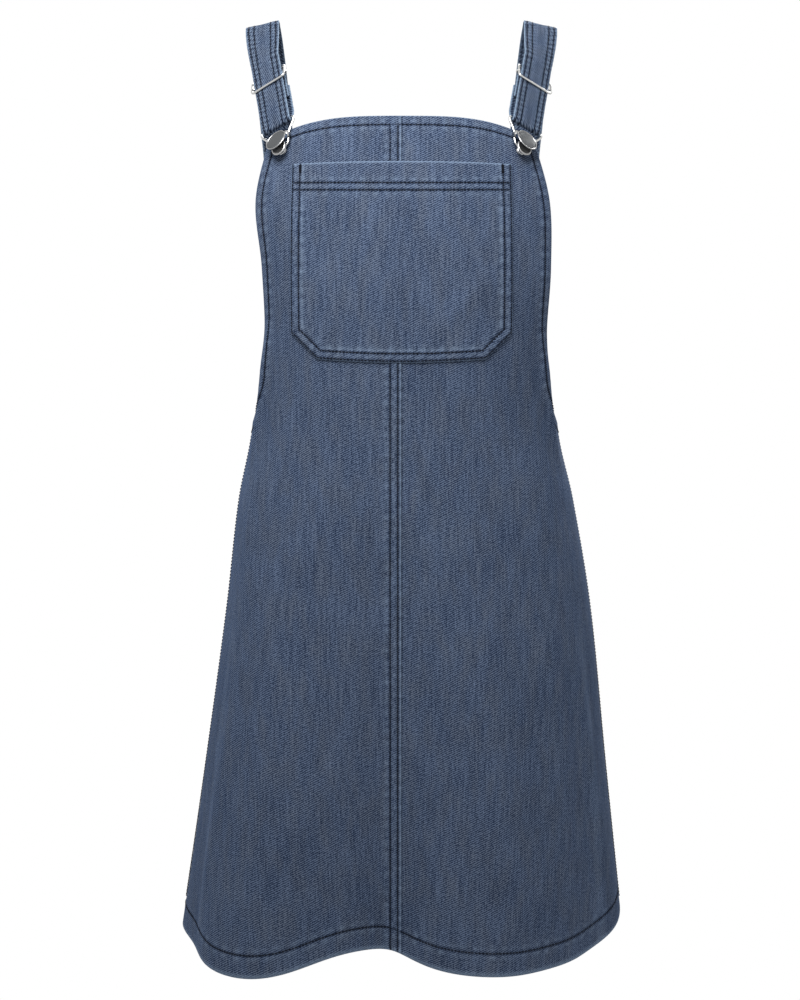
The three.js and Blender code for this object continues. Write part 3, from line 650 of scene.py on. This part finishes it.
def panel_places(side, front):
    """Grid of (degrees, height) over a quarter of the garment, from the hem up."""
    share = 0.5
    v = spread(830, 30, 16, 1.6, 3.2)
    u = spread(190, 16, 14, 1.1, 3.4)
    v, u = np.meshgrid(v, u, indexing="ij")
    centre = 0.0 if front else 180.0
    hem_side, hem_middle = float(hem_height(side * 90.0)), float(hem_height(centre))
    top_middle = BIB_MIDDLE if front else BACK_MIDDLE
    below = v <= share
    upper = np.clip((v - share) / (1 - share), 0, 1)
    t = UNDERARM + ((0.0 if front else 1.0) - UNDERARM) * upper
    edge_degrees, edge_z = armhole(t)
    edge_degrees = np.where(below, 90.0, edge_degrees)
    edge_z = np.where(below, hem_side + (ARMHOLE_Z - hem_side) * v / share, edge_z)
    middle_z = np.where(below, hem_middle + (ARMHOLE_Z - 6 - hem_middle) * v / share,
                        ARMHOLE_Z - 6 + (top_middle - ARMHOLE_Z + 6) * upper)
    bend = 2 + ((4.2 if front else 2.0) - 2) * v**4
    z = middle_z + (edge_z - middle_z) * u**bend
    degrees = side * (centre + (edge_degrees - centre) * u)
    fade = np.clip(1 - v / share, 0, 1) ** 2
    z = z + fade * (hem_height(degrees) - (hem_middle + (hem_side - hem_middle) * u**2))
    return degrees, z


def cloth_uv(degrees, z):
    """Distances over the cloth: across the warp from the centre line, and up the warp."""
    points = base_surface(degrees, z)
    across = np.linalg.norm(np.diff(points, axis=1), axis=-1)
    x = np.concatenate([np.zeros((len(points), 1)), np.cumsum(across, 1)], 1)
    return np.stack([x * np.sign(degrees[:, -1:] - degrees[:, :1]), z], -1)


SIDE_FOLD = 71.0  # degrees


def edge_shade(distance, reach=1.6):
    """Wear of a folded edge: palest on the fold itself."""
    return 0.75 * np.exp(-((distance / reach) ** 2))


def side_fold_highlight_and_shade(degrees, z):
    """A painted highlight down each side of the skirt's front along its fold, and painted shade on the cloth behind
    it.
    """
    low = np.clip((-560 - z) / 120, 0, 1)
    line = 0.32 * np.exp(-(((degrees - SIDE_FOLD) / 0.7) ** 2))
    return low * (line - 0.16 * np.clip((degrees - SIDE_FOLD - 0.6) / 1.5, 0, 1))


def make_panel(side, front):
    word = "left" if side > 0 else "right"
    name = f"{'front' if front else 'back'}_panel_{word}"
    degrees, z = panel_places(side, front)
    normals = normals_at(degrees, z)
    seam = np.abs(cloth_uv(degrees, z)[..., 0])
    ridge = 0.7 * np.clip((14 - seam) / 1.5, 0, 1) if side < 0 else 0 * seam
    ridge = np.where(seam < 0.6, ridge * 0.4, ridge)
    points = base_surface(degrees, z) + normals * ridge[..., None]
    # seam_effect gives painted shade along the stitch rows.
    outer, wear_and_painted_light = seam_effect(points, normals, ("front", "back", "hem"))
    # Along the centre seam: paler wear on the ridge of the lapping right panel, and painted shade on the left panel
    # where it runs under the lap.
    lap_wear_and_shade = 0.35 * np.exp(-((seam - 1.2) / 1.2) ** 2) if side < 0 else -0.75 * np.exp(-(seam / 1.1) ** 2)
    wear_and_painted_light = wear_and_painted_light + edge_shade(z - hem_height(degrees), 2.0) + lap_wear_and_shade
    if front:
        # Painted highlight and painted shade of the skirt's side folds.
        wear_and_painted_light = wear_and_painted_light + side_fold_highlight_and_shade(np.abs(degrees), z)
    inner = base_surface(degrees, z) - normals * CLOTH
    piece = shell(f"denim_{name}", outer, inner, cloth_uv(degrees, z), DENIM, wear_and_painted_light, (side > 0) != front,
                  slot="denim", replaces=(name,))
    base_surface(degrees, z)


for front in (True, False):
    for side in (1, -1):
        make_panel(side, front)


def inside_piece(name, degrees, z, lifts, replaces=(), flip=False):
    outer, inner = (base_surface(degrees, z) + normals_at(degrees, z) * lift for lift in lifts)
    piece = shell(name, outer, inner, cloth_uv(degrees, z), INSIDE_DENIM, flip=flip, slot="denim_inside",
                  replaces=replaces)
    return piece


def make_facings():
    lifts = (-CLOTH - 0.15, -CLOTH - 1.1)
    degrees, heights = armhole(np.linspace(0.004, 0.996, 220))
    sign = inward(degrees, heights)
    steps = [step_across(degrees, heights, sign * w) for w in np.linspace(0.2, 10.8, 8)]
    grid_degrees, grid_z = (np.stack([s[k] for s in steps], 1) for k in (0, 1))
    for side, word in ((1, "left"), (-1, "right")):
        inside_piece(f"facing_armhole_{word}", side * grid_degrees, grid_z, lifts,
                     (f"armhole_facing_{word}",), side < 0)
    for front, name, depth in ((True, "bib_facing", 45.0), (False, "back_facing", 30.0)):
        centre = 0.0 if front else 180.0
        down = np.linspace(0, depth, 14)[:, None]
        across = np.linspace(-1, 1, 90)[None]
        edge = armhole(down / 420 if front else 1 - down / 420)[0]
        span = np.minimum(abs(armhole(0.0 if front else 1.0)[0] - centre), np.abs(edge - centre)) - 4.4
        heights = top_height(np.abs(across), front) - 1 - down
        inside_piece(f"{name}_cloth", (centre + across * span)[::-1], heights[::-1], lifts, (name,))


make_facings()


def make_hem_turn():
    degrees, up = np.meshgrid(np.linspace(-180, 180, 361), np.linspace(0.3, HEM_ROW + 2, 9), indexing="xy")
    inside_piece("hem_turn", degrees, hem_height(degrees) + up, (-CLOTH - 0.15, -CLOTH - 1.2))


make_hem_turn()


def edge_roll(name, degrees, z, radius=1.15, closed=False):
    """The fold of a turned edge, as a soft round along it."""
    points, out = surface(degrees, z, -radius), normals_at(degrees, z)
    sides = np.cross(unit(np.gradient(points, axis=0)), out)
    vertices, faces, uv = sweep(points, sides, out, circle(radius, 10), closed)
    mesh_piece(name, vertices, faces, uv, DENIM, "denim", wear_and_painted_light=np.full(len(vertices), 0.42))


def make_rolls():
    turn = np.linspace(-1, 1, 160)
    edge_roll("bib_top_fold", turn * armhole(0.0)[0], top_height(np.abs(turn), True))
    edge_roll("back_top_fold", 180 + turn * (180 - armhole(1.0)[0]), top_height(np.abs(turn), False))
    degrees, heights = armhole(np.linspace(0, 1, 300))
    for side, word in ((1, "left"), (-1, "right")):
        edge_roll(f"armhole_fold_{word}", side * degrees, heights)
    around = np.linspace(-180, 179, 360)
    edge_roll("hem_fold", around, hem_height(around), 1.2, closed=True)


make_rolls()


# ---- pocket -------------------------------------------------------------------------------------
def pocket_half(z):
    down = (POCKET_TOP - z) / (POCKET_TOP - POCKET_CORNER)
    side = 107.6 + 1.4 * np.sin(math.pi * np.clip(down, 0, 1) * 0.8)
    cut = np.clip((POCKET_CORNER - z) / (POCKET_CORNER - POCKET_BOTTOM), 0, 1)
    return side - cut * 26.5


def pocket_gape(x, z):
    down = np.clip((POCKET_TOP - z) / (POCKET_TOP - POCKET_BOTTOM), 0, 1)
    across = np.minimum(1, np.abs(x) / (pocket_half(z) - 4))
    return 2.6 * (1 - across**2) * (1 - down) ** 3


def pocket_bow(x):
    """How far the pocket's bottom edge sags in the middle."""
    return -4.0 * np.clip(1 - (x / 84) ** 2, 0, 1)


POCKET_LIFT = 1.5


def pocket_outline():
    """The pocket's sewn edge from its top corner on the wearer's right, down and round."""
    heights = [POCKET_TOP, *np.linspace(POCKET_TOP - 12, POCKET_CORNER, 12)]
    right = [(-float(pocket_half(z)), z) for z in heights]
    bottom = [(x, POCKET_BOTTOM + float(pocket_bow(x))) for x in np.linspace(-82.5, 82.5, 24)]
    return np.array(right + bottom + [(-x, z) for x, z in right[::-1]])


def inset(outline, distance):
    """An outline moved in to its left by a distance."""
    fine = resample(outline, step=2.0)
    along = unit(np.gradient(fine, axis=0))
    moved = fine + np.stack([-along[:, 1], along[:, 0]], 1) * distance
    if abs(distance) > 4:  # drop the points that fold over at the corners
        keep = np.ones(len(moved), bool)
        keep[1:] = (np.diff(moved, axis=0) * along[1:]).sum(1) > 0.4
        moved = moved[keep]
    return moved


def pocket_row(points):
    """A row of stitches on the pocket, through points of (x, height)."""
    x, z = points.T
    degrees = angle_at_x(x, z)
    surface_row("pocket", degrees, z, POCKET_LIFT + CLOTH + pocket_gape(x, z))


def make_pocket():
    outline = pocket_outline()
    for distance in POCKET_ROWS:
        pocket_row(inset(outline, distance))
    for drop in POCKET_BAND:
        half = float(pocket_half(POCKET_TOP - drop)) - 3
        x = np.linspace(-half, half, 70)
        pocket_row(np.stack([x, POCKET_TOP - drop + 2.2 * (x / half) ** 2], 1))
    v = spread(196, 14, 32, 1.2, 3.4)
    u = spread(216, 14, 14, 1.1, 3.6)
    v, u = np.meshgrid(v, u, indexing="ij")
    z = POCKET_BOTTOM + (POCKET_TOP - POCKET_BOTTOM) * v
    x = (2 * u - 1) * pocket_half(z)
    z = z + pocket_bow(x) * (1 - v) ** 3
    sewn_edge = np.minimum(pocket_half(z) - np.abs(x), z - POCKET_BOTTOM - pocket_bow(x))
    edge = np.minimum(sewn_edge, POCKET_TOP - z)
    fold = np.sqrt(np.clip(1 - (1 - np.clip(edge / 1.6, 0, 1)) ** 2, 0, 1))
    band = 0.5 * np.clip((z - (POCKET_TOP - 30)) / 1.5, 0, 1)
    hem = 0.5 * np.clip((11 - sewn_edge) / 1.5, 0, 1)
    degrees = angle_at_x(x, z)
    normals = normals_at(degrees, z)
    base = base_surface(degrees, z)
    gape = pocket_gape(x, z)
    lift = POCKET_LIFT + gape + (CLOTH + np.maximum(band, hem) - 0.35) * fold
    # seam_effect gives painted shade along the pocket's stitch rows.
    outer, wear_and_painted_light = seam_effect(base + normals * lift[..., None], normals, ("pocket",))
    wear_and_painted_light = wear_and_painted_light + edge_shade(edge, 1.5) + 0.22 * np.exp(-((sewn_edge - 11.5) / 1.2) ** 2)
    inner = base + normals * (0.35 + gape)[..., None]
    uv = np.stack([x + 400, z], -1)
    piece = shell("patch_pocket", outer, inner, uv, DENIM, wear_and_painted_light, slot="denim_pocket", replaces=("bib_pocket",))


make_pocket()


def bar_tacks():
    """Short bars of close stitches at the pocket's top corners."""
    for sign in (-1, 1):
        for k in range(8):
            z0 = POCKET_TOP - 2 - 1.0 * k
            x = sign * (float(pocket_half(z0)) - np.array([7.4, 11.0]))
            z = np.array([z0, z0 - 0.4])
            surface_row("tacks", angle_at_x(x, z), z, POCKET_LIFT + CLOTH + 0.4)


bar_tacks()
for layer, slot in (("front", "denim"), ("back", "denim"), ("hem", "denim"), ("pocket", "denim_pocket")):
    stitches(f"stitching_{layer}", layer, slot)

# ---- hardware frame -----------------------------------------------------------------------------
BUTTON_X, BUTTON_Z = -116.5, -141.0
STRAP_UP, STRAP_OUT = np.array([-0.16, 0.53, 0.835]), np.array([-0.57, -0.72, 0.38])
STRAP_WIDTH, STRAP_THICK, WIRE, GAP = 35.0, 1.8, 1.2, 0.3
PLANE, BAR_UP, BAR_HALF, EYE, NECK = 4.2, 31.0, 20.0, 10.5, 4.2
SLIDER_UP, SLIDER_HALF, SLIDER_HEIGHT, SLIDER_BAR = 90.0, 20.4, 8.4, 1.1
STRAP_LINE = PLANE + WIRE + GAP + STRAP_THICK / 2
BAR_LINE = STRAP_LINE - STRAP_THICK - 2 * GAP - STRAP_THICK / 2 - SLIDER_BAR
LAYER_GAP = 1.6


def cad_button_place():
    x, z = BUTTON_X, np.array([BUTTON_Z])
    width, front, _, square, _, lean = station(z)[0]
    for _ in range(6):
        y = AXIS_Y - front * (1 - (abs(x) / width) ** square) ** (1 / square)
        x = BUTTON_X - lean * x**2 / (x**2 + (y - AXIS_Y) ** 2)
    return np.array([BUTTON_X, y, BUTTON_Z])


UP = unit(STRAP_UP)
OUT = unit(STRAP_OUT - UP * (STRAP_OUT @ UP))
ACROSS = np.cross(UP, OUT)
BUTTON = cad_button_place()


def local(points, side):
    """Points of (across, up, outward) in the clip's frame, placed on the wearer's right or left."""
    p = np.asarray(points, float)
    out = BUTTON + p[..., :1] * ACROSS + p[..., 1:2] * UP + p[..., 2:] * OUT
    return out * np.array([-1.0 if side == "left" else 1.0, 1, 1])


def turned(faces, side):
    return [face[::-1] for face in faces] if side == "left" else faces


def tube_shape(points, radius, closed=False, count=16):
    points = np.asarray(points, float)
    return sweep(points, *transported(points, closed), circle(radius, count), closed)


# ---- clips, sliders and buttons -----------------------------------------------------------------
def clip_shape():
    right = [(BAR_HALF - 2.2, BAR_UP), (BAR_HALF - 0.5, BAR_UP - 0.8), (BAR_HALF, BAR_UP - 3),
             (EYE + 3.6, EYE + 8.4), (EYE + 0.6, EYE + 3), (EYE - 0.1, EYE - 2.5), (EYE - 2.2, EYE - 7),
             (NECK + 0.9, EYE - 9.2), (NECK, -0.8), (NECK * 0.72, -3.6)]
    left = [(-w, u) for w, u in right[::-1]]
    outline = [(0, BAR_UP)] + right + [(0, -4.9)] + left
    line = spline([(w, u, PLANE) for w, u in outline], 320, closed=True)[:-1]
    return tube_shape(line, WIRE, closed=True)


CAP_RADIUS, CAP_UP, CAP_PLANE, CAP_LEAN = 12.0, 7.9, 10.9, 15


def cap_shapes():
    """The clip's cover: a brushed dished face inside a rolled bright rim, on two crimped lugs."""
    face = [(0, 0.4), (CAP_RADIUS - 1.2, 0.4), (CAP_RADIUS - 0.8, 0.9), (CAP_RADIUS - 2.2, 1.15),
            (CAP_RADIUS * 0.5, 1.6), (0, 1.7)]
    vertices, faces, uv = lathe(face, 72)
    a = np.linspace(0, TURN, 97)[:-1]
    ring = np.stack([(CAP_RADIUS - 0.6) * np.cos(a), (CAP_RADIUS - 0.6) * np.sin(a), np.full(a.shape, 0.75)], 1)
    rim = tube_shape(ring, 0.6, closed=True, count=14)
    lean = math.radians(CAP_LEAN)
    turn = np.array([[1, 0, 0], [0, math.cos(lean), -math.sin(lean)], [0, math.sin(lean), math.cos(lean)]])
    centre = (0, CAP_UP, CAP_PLANE)
    vertices, rim = vertices @ turn + centre, (rim[0] @ turn + centre, *rim[1:])
    lugs = []
    for sign in (1, -1):
        path = spline([(sign * (EYE + 2.9), EYE + 1.2, PLANE - 1.0), (sign * (EYE + 3.0), EYE + 1.2, PLANE + 1.5),
                       (sign * (EYE + 2.4), EYE + 1.2, CAP_PLANE - 1.8),
                       (sign * (EYE - 1.4), EYE + 1.2, CAP_PLANE - 0.9)], 26)
        sides = np.tile([0.0, 1.0, 0.0], (len(path), 1))
        outward = np.cross(unit(np.gradient(path, axis=0)), sides)
        lugs.append(sweep(path, sides, outward, rounded_rectangle(4.4, 0.8, 0.3)))
    return (vertices, faces, uv), rim, merge(lugs)


def rounded_rectangle(width, height, radius, arc=5, across=1):
    """Points round a rectangle, with extra points across its two long faces."""
    points = []
    for cx, cy, start in ((1, -1, -90), (1, 1, 0), (-1, 1, 90), (-1, -1, 180)):
        a = np.radians(start + np.linspace(0, 90, arc))
        x, y = cx * (width / 2 - radius), cy * (height / 2 - radius)
        points += list(zip(x + radius * np.cos(a), y + radius * np.sin(a)))
        if cx == cy and across > 1:
            ends = np.linspace(x, -x, across + 1)[1:-1]
            points += [(e, cy * height / 2) for e in ends]
    return np.array(points)


def slider_shape():
    stand = STRAP_THICK / 2 + GAP + WIRE
    a, b, corner = SLIDER_HALF, SLIDER_HEIGHT, 3.0
    outline = [(a, 0)]
    for sx, sy in ((1, 1), (-1, 1), (-1, -1), (1, -1)):
        turn = [(sx * a, sy * (b - corner)), (sx * (a - 0.9), sy * (b - 0.9)), (sx * (a - corner), sy * b)]
        outline += turn if sx == sy else turn[::-1]
        outline += {(1, 1): [(0, b)], (-1, 1): [(-a, 0)], (-1, -1): [(0, -b)], (1, -1): []}[(sx, sy)]
    points = [(w, SLIDER_UP + u, STRAP_LINE - stand * u / b) for w, u in outline]
    return tube_shape(spline(points, 260, closed=True)[:-1], WIRE, closed=True)


def slider_bar_shape():
    back = STRAP_LINE - WIRE - 2.5 * GAP
    a = SLIDER_HALF
    half = [(a, back + 1.2), (a, BAR_LINE + 1.6), (a - 0.4, BAR_LINE + 0.4), (a - 1.4, BAR_LINE)]
    points = [(-w, SLIDER_UP, n) for w, n in half] + [(0, SLIDER_UP, BAR_LINE)]
    points += [(w, SLIDER_UP, n) for w, n in half[::-1]]
    return tube_shape(spline(points, 90), SLIDER_BAR)


HEAD_RADIUS, HEAD_LOW, HEAD_HIGH = 8.5, 7.5, 9.9


def button_shapes():
    head = [(0, HEAD_LOW), (HEAD_RADIUS - 1.2, HEAD_LOW), (HEAD_RADIUS - 0.3, HEAD_LOW + 0.5),
            (HEAD_RADIUS, HEAD_LOW + 1.1), (HEAD_RADIUS - 0.4, HEAD_HIGH - 0.5), (HEAD_RADIUS - 1.3, HEAD_HIGH - 0.1),
            (HEAD_RADIUS - 2.2, HEAD_HIGH - 0.5), (HEAD_RADIUS * 0.4, HEAD_HIGH - 0.3), (0, HEAD_HIGH - 0.2)]
    shank = [(0, 1), (4, 1), (4, 1.6), (2.8, 2.1), (2.6, 3), (2.6, 6), (3.9, HEAD_LOW - 0.25), (0, HEAD_LOW - 0.2)]
    tack = [(0, -6), (4.4, -6), (4.6, -5.7), (4.4, -5.3), (1.2, -5.2), (1.2, 1.0), (0, 1.2)]
    return lathe(head, 64), lathe(shank, 40), lathe(tack, 40)


def make_hardware(side):
    face, rim, lugs = cap_shapes()
    head, shank, tack = button_shapes()
    clip, slider = f"clip_{side}", f"slider_{side}"
    for name, (vertices, faces, uv), material, slot, body, node in (
        ("wire_clip", clip_shape(), WIRE_METAL, "clip_wire", clip, "clip_wire"),
        ("cap_face", face, CAP_METAL, "clip_cap", clip, "clip_cap"),
        ("cap_rim", rim, RIM_METAL, "clip_cap", clip, None),
        ("cap_lugs", lugs, RIM_METAL, "clip_cap", clip, None),
        ("slider_loop", slider_shape(), WIRE_METAL, "slider", slider, "slider_frame"),
        ("slider_crossbar", slider_bar_shape(), WIRE_METAL, "slider", slider, "slider_bar"),
        ("tack_button_head", head, BUTTON_METAL, "button", "root", "button_head"),
        ("tack_button_shank", shank, BUTTON_METAL, "button", "root", "button_shank"),
        ("tack_button_tack", tack, BUTTON_METAL, "button", "root", "button_tack"),
    ):
        replaces = (f"{node}_{side}",) if node else ()
        mesh_piece(f"{name}_{side}", local(vertices, side), turned(faces, side), uv, material, slot, body,
                   replaces=replaces)


# ---- straps -------------------------------------------------------------------------------------
SHOULDER_X, SHOULDER_SLOPE, SHOULDER_FLAT = 143.5, math.radians(13), 12.0
STRAIGHT, JUNCTION = 108.0, 97.0
BACK_DEGREES = -123.0  # where the strap meets the back panel
STRAP_ROWS = (-14.2, -8.6, 8.6, 14.2)  # across the strap
BOX_ENDS, BOX_MIDDLE, TAB_ROWS = (-6, -58), -30, (-42, -50)  # frames with rows across them


def shoulder(x, y, drop):
    side = np.array([math.cos(SHOULDER_SLOPE), 0, math.sin(SHOULDER_SLOPE)])
    return np.array([x - SHOULDER_X, y, STRAP_THICK / 2 / math.cos(SHOULDER_SLOPE) - drop]), side


def frames_along(keys, steps):
    """Path, sideways and outward directions through keys of (point, sideways direction)."""
    points = spline([k[0] for k in keys], steps)
    marks = [int(np.argmin(np.linalg.norm(points - k[0], axis=1))) for k in keys]
    sides = np.stack([np.interp(np.arange(steps), marks, [k[1][c] for k in keys]) for c in range(3)], 1)
    tangents = unit(np.gradient(points, axis=0))
    sides = unit(sides - tangents * (sides * tangents).sum(1)[:, None])
    return points, sides, np.cross(sides, tangents)


def strap_path():
    """The strap from the slider over the shoulder to the back panel, on the wearer's right."""
    def free(x, y, z, *across):
        return np.array([x, y, z]), unit(np.array(across))

    def sewn(z):
        place = np.array(BACK_DEGREES), np.array(z)
        return surface(*place, GAP + STRAP_THICK / 2), unit(np.cross([0, 0, 1], normals_at(*place)))

    half = SHOULDER_FLAT / 2
    keys = [(local((0, JUNCTION, STRAP_LINE), "right"), ACROSS),
            (local((0, STRAIGHT, STRAP_LINE), "right"), ACROSS),
            (local((0, STRAIGHT + 8, STRAP_LINE), "right"), ACROSS),
            shoulder(0.5, -half - 14, 10), shoulder(0, -half - 4, 1.2), shoulder(0, -half, 0), shoulder(0, half, 0),
            shoulder(0, half + 4, 1.2), shoulder(1.5, half + 16, 12),
            free(-137, 46, -56, 0.95, 0.22, 0.2), free(-131, 61, -120, 0.93, 0.36, 0.08),
            sewn(BACK_CORNER - 1.0), sewn(BACK_CORNER - 30.0)]
    return frames_along(keys, 420)


def plane_frames(path, count, side):
    """Frames of a band that stays square to the clip's plane, along (up, outward) points; side is 1 or -1."""
    line = spline(path, count)
    points = np.stack([np.zeros(count), line[:, 0], line[:, 1]], 1)
    tangents = unit(np.gradient(points, axis=0))
    sides = np.tile([float(side), 0, 0], (count, 1))
    return points, sides, np.cross(sides, tangents)


def arc(up, out, radius, start, end, steps):
    a = np.radians(np.linspace(start, end, steps + 1))
    return [(up + radius * math.cos(t), out + radius * math.sin(t)) for t in a]


def strap_profile(width):
    """A strap's section: round folded edges, and a shallow groove under each row of stitches."""
    points = rounded_rectangle(width, STRAP_THICK, STRAP_THICK / 2 - 0.05, 7, 44)
    groove = sum(np.exp(-(((points[:, 0] - row) / 1.1) ** 2)) for row in STRAP_ROWS)
    points[:, 1] -= np.sign(points[:, 1]) * 0.22 * groove
    return points


def band_shape(frames, width, pucker):
    """A strap's (vertices, faces, uv, wear with painted shade), puckered along its rows of stitches; the grooves
    under the rows get painted shade.
    """
    points, sides, out = frames
    profile = strap_profile(width)
    vertices, faces, uv = sweep(points, sides, out, profile)
    x, face_sign = (np.tile(values, len(points)) for values in (profile[:, 0], np.sign(profile[:, 1])))
    length = uv[:, 1]
    rows_near = sum(np.exp(-(((x - row) / 4.5) ** 2)) for row in STRAP_ROWS)
    wave = np.sin(length * 1.05 + 0.9 * np.sin(length * 0.19) + 0.2 * x)
    ripple = 0.3 * rows_near * wave + 0.15 * np.sin(length * 0.23 + x * 0.2)
    ripple = ripple * np.clip((length - 8) / 10, 0, 1)
    vertices = vertices + np.repeat(out, len(profile), axis=0) * (pucker * ripple)[:, None]
    edge = np.abs(x) - (width / 2 - 1.6)
    wear_and_painted_light = 0.62 * np.clip(edge / 1.4, 0, 1) + 0.16 * rows_near * wave
    # Painted shade darkens the groove under each row of stitches; the cloth beside it gets paler wear.
    for row in STRAP_ROWS:
        wear_and_painted_light = wear_and_painted_light - 0.8 * np.exp(-(((x - row) / 1.0) ** 2)) + 0.16 * np.exp(-(((x - row) / 3) ** 2))
    return vertices, faces, np.stack([x + 60 * face_sign, length], 1), wear_and_painted_light


def strap_rows(layer, frames):
    """Rows of stitches along a strap's outer face."""
    points, sides, out = frames
    for row in STRAP_ROWS:
        add_row(layer, points + sides * row + out * (STRAP_THICK / 2 - 0.12), out)


def cross_row(layer, frames, k, half, count):
    """A row of stitches across a strap's outer face, at one of its frames."""
    points, sides, out = frames
    line = points[k] + out[k] * (STRAP_THICK / 2 - 0.1) + sides[k] * np.linspace(-half, half, count)[:, None]
    add_row(layer, line, np.tile(out[k], (count, 1)))


def mirrored_frames(frames, side):
    flip = np.array([-1.0 if side == "left" else 1.0, 1, 1])
    return tuple(f * flip for f in frames)


def placed_frames(frames, side):
    """Frames from the clip's own axes to the row's."""
    points, sides, out = frames
    zero = local(np.zeros(3), side)
    return local(points, side), local(sides, side) - zero, local(out, side) - zero


def strap_piece(name, frames, side, held, width=STRAP_WIDTH, pucker=1.0, **options):
    vertices, faces, uv, wear_and_painted_light = band_shape(frames, width, pucker)
    piece = mesh_piece(name, vertices, turned(faces, side), uv, STRAP_DENIM, "denim_strap", wear_and_painted_light=wear_and_painted_light, **options)
    return piece


def lower_path():
    """Down the front from the junction, under the slider's lower bar, round the clip and up behind."""
    radius = WIRE + GAP + STRAP_THICK / 2
    behind = BAR_LINE - SLIDER_BAR - GAP - STRAP_THICK - LAYER_GAP - STRAP_THICK / 2
    front = [(JUNCTION, STRAP_LINE), (JUNCTION - 6, STRAP_LINE + 0.1), (JUNCTION - 20, STRAP_LINE - 0.1),
             (66, STRAP_LINE - 0.2), (48, STRAP_LINE), (38, STRAP_LINE)]
    turn = arc(BAR_UP, PLANE, radius, 90, 270, 12)
    back = [(BAR_UP + 12, behind + 0.2), (BAR_UP + 24, behind - 0.2), (SLIDER_UP - 12, behind - 0.3)]
    return plane_frames(front + turn + back, 190, -1)


TAB_DOWN = 28.5  # how far the tab hangs below the slider's bar, over the end of the lower strap


def tab_path():
    radius = SLIDER_BAR + GAP + STRAP_THICK / 2
    fold = arc(SLIDER_UP, BAR_LINE, radius, 150, -90, 16)
    tail = [(SLIDER_UP - down, BAR_LINE - radius) for down in (13, TAB_DOWN)]
    return plane_frames(fold + tail, 90, 1)


def make_strap(side):
    main = mirrored_frames(strap_path(), side)
    strap_piece(f"shoulder_strap_{side}", main, side, "draped", replaces=(f"strap_{side}",))
    layer = f"strap_{side}"
    strap_rows(layer, main)
    for k in BOX_ENDS:
        cross_row(layer, main, k, 15, 12)
    points, sides, out = main
    low, high = (points[k] for k in BOX_ENDS)
    share = np.linspace(0, 1, 12)[:, None]
    for sign in (1, -1):
        x = np.linspace(-14.5, 14.5, 12)[:, None] * sign
        line = low + (high - low) * share + sides[BOX_MIDDLE] * x + out[BOX_MIDDLE] * (STRAP_THICK / 2 - 0.1)
        add_row(layer, line, np.tile(out[BOX_MIDDLE], (12, 1)))
    stitches(f"stitching_shoulder_{side}", layer, "denim_strap")
    lower = placed_frames(lower_path(), side)
    layer = f"lower_{side}"
    strap_rows(layer, lower)
    pieces = [
        strap_piece(f"clip_strap_{side}", lower, side, "folded", pucker=0.3, body=None,
                    replaces=(f"strap_end_{side}",)),
        stitches(f"stitching_clip_strap_{side}", layer, "denim_strap", body=None),
    ]
    for piece in pieces:
        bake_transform(piece)
    tab, layer, body = placed_frames(tab_path(), side), f"tab_{side}", f"slider_{side}"
    strap_piece(f"sewn_tab_{side}", tab, side, "folded", STRAP_WIDTH - 1, 0.3, body=body,
                replaces=(f"strap_tab_{side}",))
    for k in TAB_ROWS:
        cross_row(layer, tab, k, 15.5, 14)
    stitches(f"stitching_tab_{side}", layer, "denim_strap", body=body)


for side in SIDES:
    make_hardware(side)
    make_strap(side)
stitches("bar_tacks", "tacks", "denim_pocket")


# ---- studio -------------------------------------------------------------------------------------
CAMERA_PLACE, CAMERA_DIP, LENS = (-0.0015, -2.3, -0.397), 2.34, 79.2
FLOOR_Z = -1.31
# Name, place, height aimed at, power in watts and width, in metres.
LAMPS = (("key", (-0.25, -1.05, 0.75), -0.08, 14, 0.8), ("back", (0.4, 1.1, 0.8), -0.1, 13, 0.8))


def make_world():
    """White all round, paling upwards so that the cloth's shape shows."""
    world = bpy.data.worlds.new("studio")
    bpy.context.scene.world = world
    world.use_nodes = True
    nodes, links = world.node_tree.nodes, world.node_tree.links
    split = nodes.new("ShaderNodeSeparateXYZ")
    links.new(nodes.new("ShaderNodeTexCoord").outputs["Generated"], split.inputs[0])
    fade = nodes.new("ShaderNodeMapRange")
    for name, value in (("From Min", -0.9), ("From Max", -0.45), ("To Min", 0.25), ("To Max", 1.0)):
        fade.inputs[name].default_value = value
    links.new(split.outputs["Z"], fade.inputs["Value"])
    links.new(fade.outputs["Result"], nodes["Background"].inputs["Strength"])
    nodes["Background"].inputs["Color"].default_value = (1, 1, 1, 1)


def make_studio():
    scene = bpy.context.scene
    scene.view_settings.view_transform = "Standard"
    make_world()
    camera = bpy.data.cameras.new("camera")
    camera.lens, camera.sensor_width = LENS, 36
    scene.camera = add_object("camera", camera, CAMERA_PLACE)
    scene.camera.rotation_euler = (math.radians(90 - CAMERA_DIP), 0, 0)
    for name, place, aim, power, size in LAMPS:
        light = bpy.data.lights.new(name, "AREA")
        light.energy, light.size, light.spread = power, size, math.radians(85)
        lamp = add_object(name, light, place)
        lamp.rotation_euler = (Vector((0, 0, aim)) - Vector(place)).to_track_quat("-Z", "Y").to_euler()
    floor = Graph("floor")
    floor.put(floor.shader, Base_Color=(0.72, 0.72, 0.72, 1), Roughness=0.8)
    mesh = bpy.data.meshes.new("floor")
    around = [TURN * k / 96 for k in range(96)]
    mesh.from_pydata([(math.cos(a), math.sin(a), FLOOR_Z) for a in around], [], [list(range(96))])
    mesh.materials.append(floor.material)
    add_object("floor", mesh)


make_studio()
